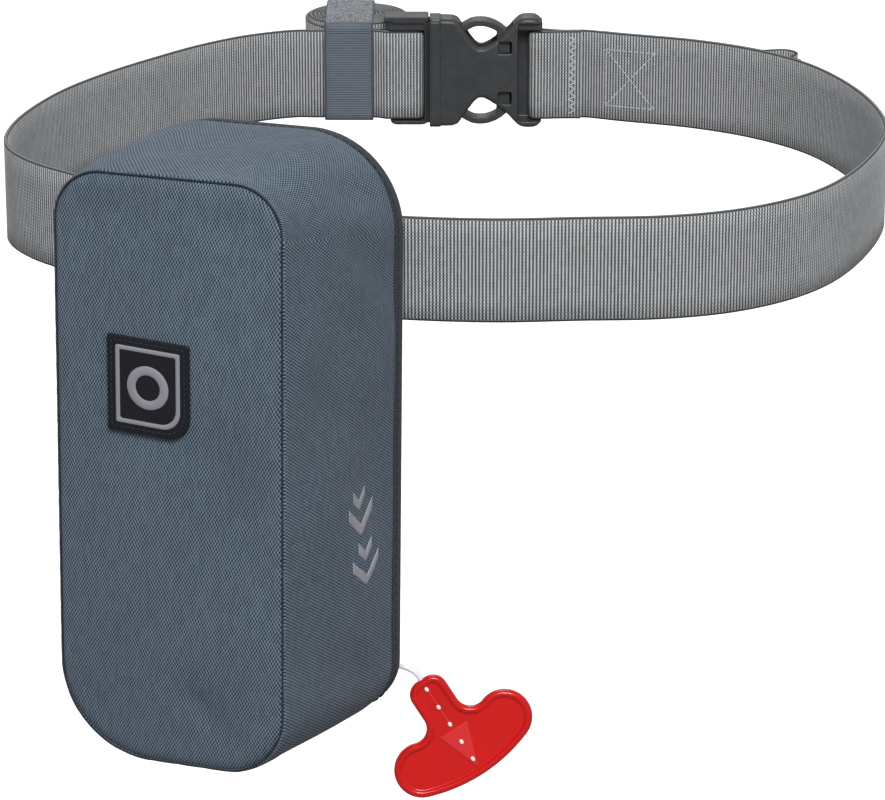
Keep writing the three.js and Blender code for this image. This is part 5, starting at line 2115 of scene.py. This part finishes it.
@dataclass
class Handle:
    """Flat red T handle with a raised rim, arrow and white dots. Sizes run from the neck's end."""

    end: Point = (35.3, -145.05, -155.45)
    facing_deg: float = 20.0
    tilt_deg: float = 12.0
    lean_deg: float = 33.4
    length: float = 40.0
    thickness: float = 4.6
    neck_half: float = 6.8
    neck_corner: float = 5.0
    lobe_radius: float = 9.7
    lobe_across: float = 17.9
    lobe_along: float = 27.1
    notch_radius: float = 6.0
    gap: float = 0.3
    grow: float = 0.45
    neck_rise: float = 0.5
    arc_points: tuple[int, int, int, int] = (14, 18, 34, 14)
    notch_stop: float = 354.0
    base_overlap: float = 1.5
    rim_rise: float = 0.9
    rim: tuple[Pair, ...] = (
        (3.3, 0.9), (2.9, 0.84), (2.62, 0.6), (2.4, 0.28), (2.05, 0.12), (1.6, 0.0), (1.1, 0.08),
        (0.65, 0.35), (0.3, 0.8), (0.08, 1.4), (0.0, 2.3),
    )
    dots: tuple[float, ...] = (3.1, 10.9, 18.4, 26.0, 33.5)
    dot_shape: Pair = (0.85, 1.15)
    dot_rows: tuple[Pair, ...] = ((0.82, -0.15), (0.82, 0.2), (0.66, 0.36), (0.36, 0.46), (0.08, 0.48))
    dot_steps: int = 20
    dot_lifts: tuple[float, ...] = (0.1, 0.1, 0.1, 0.42, 0.42)
    arrow: tuple[float, float, float] = (20.6, 16.6, 5.8)
    arrow_rows: tuple[Pair, ...] = ((1.0, -0.05), (1.0, 0.28), (0.95, 0.42), (0.88, 0.45))
    ridge_bow: tuple[Pair, ...] = ((-0.42, -0.05), (-0.3, 0.2), (0.0, 0.3), (0.3, 0.2), (0.42, -0.05))
    ridge_tail: float = 3.4
    ridge_steps: int = 24

    @property
    def floor(self) -> float:
        """Height of the sunk face over the handle's middle."""
        return self.thickness / 2 - self.rim_rise

    def matrix(self) -> Matrix:
        """Placement of the handle's own frame: across, back towards the cord, and out of its face.

        Returns:
            The placement, in millimetres.
        """
        angles = (self.facing_deg, self.tilt_deg, self.lean_deg)
        facing, tilt, lean = (math.radians(angle) for angle in angles)
        cos, sin, dip = math.cos(facing), math.sin(facing), math.sin(tilt)
        right = Vector((cos, sin, 0))
        down = Vector((sin * dip, -cos * dip, -math.cos(tilt)))
        pull = right * math.sin(lean) + down * math.cos(lean)
        across = right * math.cos(lean) - down * math.sin(lean)
        place = Matrix((across, -pull, across.cross(-pull))).transposed().to_4x4()
        place.translation = Vector(self.end) + pull * self.gap
        return place

    def outline(self, inset: float) -> Array:
        """The T's outline drawn in by an inset, two numbers for each point.

        Args:
            inset: how far it is drawn in, in millimetres.

        Returns:
            The outline's points.
        """
        inset = inset - self.grow
        lobe_depth = self.length - self.lobe_along
        chord = self.lobe_across**2 + lobe_depth**2 - self.lobe_radius**2
        base_radius = chord / (2 * (lobe_depth - self.lobe_radius))
        base_middle = base_radius - self.length
        notch_across = self.neck_half + self.notch_radius
        reach = self.lobe_radius + self.notch_radius
        apart = self.lobe_across - notch_across
        notch_along = -self.lobe_along + math.sqrt(reach**2 - apart**2)
        to_lobe = math.degrees(math.atan2(-self.lobe_along - notch_along, apart))
        to_base = math.degrees(math.atan2(-self.lobe_along - base_middle, self.lobe_across))
        corner, points = self.neck_corner, self.arc_points
        notch, lobe = self.notch_radius + inset, self.lobe_radius - inset
        arcs = (
            Arc(self.neck_half - corner, self.neck_rise - corner, corner - inset, 90, 0, points[0]),
            Arc(notch_across, notch_along, notch, 180, self.notch_stop + to_lobe, points[1]),
            Arc(self.lobe_across, -self.lobe_along, lobe, to_lobe + 180, to_base, points[2]),
            Arc(0.0, base_middle, base_radius - inset, to_base - self.base_overlap, -90, points[3]),
        )
        half = np.concatenate([arc.trace() for arc in arcs])
        return np.concatenate([half, half[:-1][::-1] * [-1, 1]])

    def build_body(self) -> bpy.types.Object:
        """Makes the handle with its rounded raised rim and both sunk faces.

        Returns:
            The new piece.
        """
        profile = [(inset, self.thickness / 2 - down) for inset, down in self.rim]
        rows = profile + [(inset, -height) for inset, height in profile[-2::-1]]
        grid = np.stack([lying(self.outline(inset), height) for inset, height in rows])
        piece = Skin().add_grid(grid, close_cols=True, caps=True).build("handle_body", self.matrix())
        return settle(piece, HANDLE_PLASTIC, Slot.HANDLE, "pull_handle")

    def build_arrow(self) -> bpy.types.Object:
        """Makes the raised arrow head and the ridge that runs through the dots.

        Returns:
            The new piece.
        """
        start, length, half_width = self.arrow
        arrow = np.array([(-half_width, -start), (half_width, -start), (0.0, -start - length)])
        middle = arrow.mean(axis=0)
        rows = [lying((arrow - middle) * size + middle, self.floor + up) for size, up in self.arrow_rows]
        skin = Skin().add_grid(np.stack(rows), close_cols=True, caps=True)
        bow = np.array(self.ridge_bow)
        for low, high in ((self.dots[0], self.dots[2]), (self.dots[4], self.dots[4] + self.ridge_tail)):
            along = np.linspace(low, high, self.ridge_steps)
            ridge = np.stack([standing(bow + [0, self.floor], -y) for y in along])
            skin.add_grid(ridge, along, close_cols=True, caps=True)
        marks = skin.build("handle_arrow", self.matrix())
        marks.data.shade_flat()
        return settle(marks, ARROW_PLASTIC, Slot.HANDLE)

    def build_dots(self) -> bpy.types.Object:
        """Makes the row of white dots.

        Returns:
            The new piece.
        """
        skin = Skin()
        ring = circle(self.dot_steps)
        for y, lift in zip(self.dots, self.dot_lifts):
            rings = [(ring * radius * self.dot_shape - [0, y], z) for radius, z in self.dot_rows]
            rows = [lying(flat, self.floor + lift + z) for flat, z in rings]
            skin.add_grid(np.stack(rows), close_cols=True, caps=True)
        return settle(skin.build("handle_dots", self.matrix()), WHITE_DOT, Slot.HANDLE)

    def build(self) -> list[bpy.types.Object]:
        """Makes the handle's pieces and returns them."""
        return [self.build_body(), self.build_arrow(), self.build_dots()]


def main() -> None:
    """Builds the studio and every sub-assembly, cord first."""
    logging.basicConfig(level=logging.INFO, format="%(name)s %(message)s")
    Studio().build()
    pouch = Pouch()
    cord = PullCord()
    cord.build(Handle().build())
    cord.build_eyelet(pouch)
    belt = WaistBelt()
    belt.build()
    Keeper(belt).build()
    Buckle().build()
    pouch.build()
    Patch(pouch).build()
    bpy.context.view_layer.update()


if __name__ == "__main__":
    main()
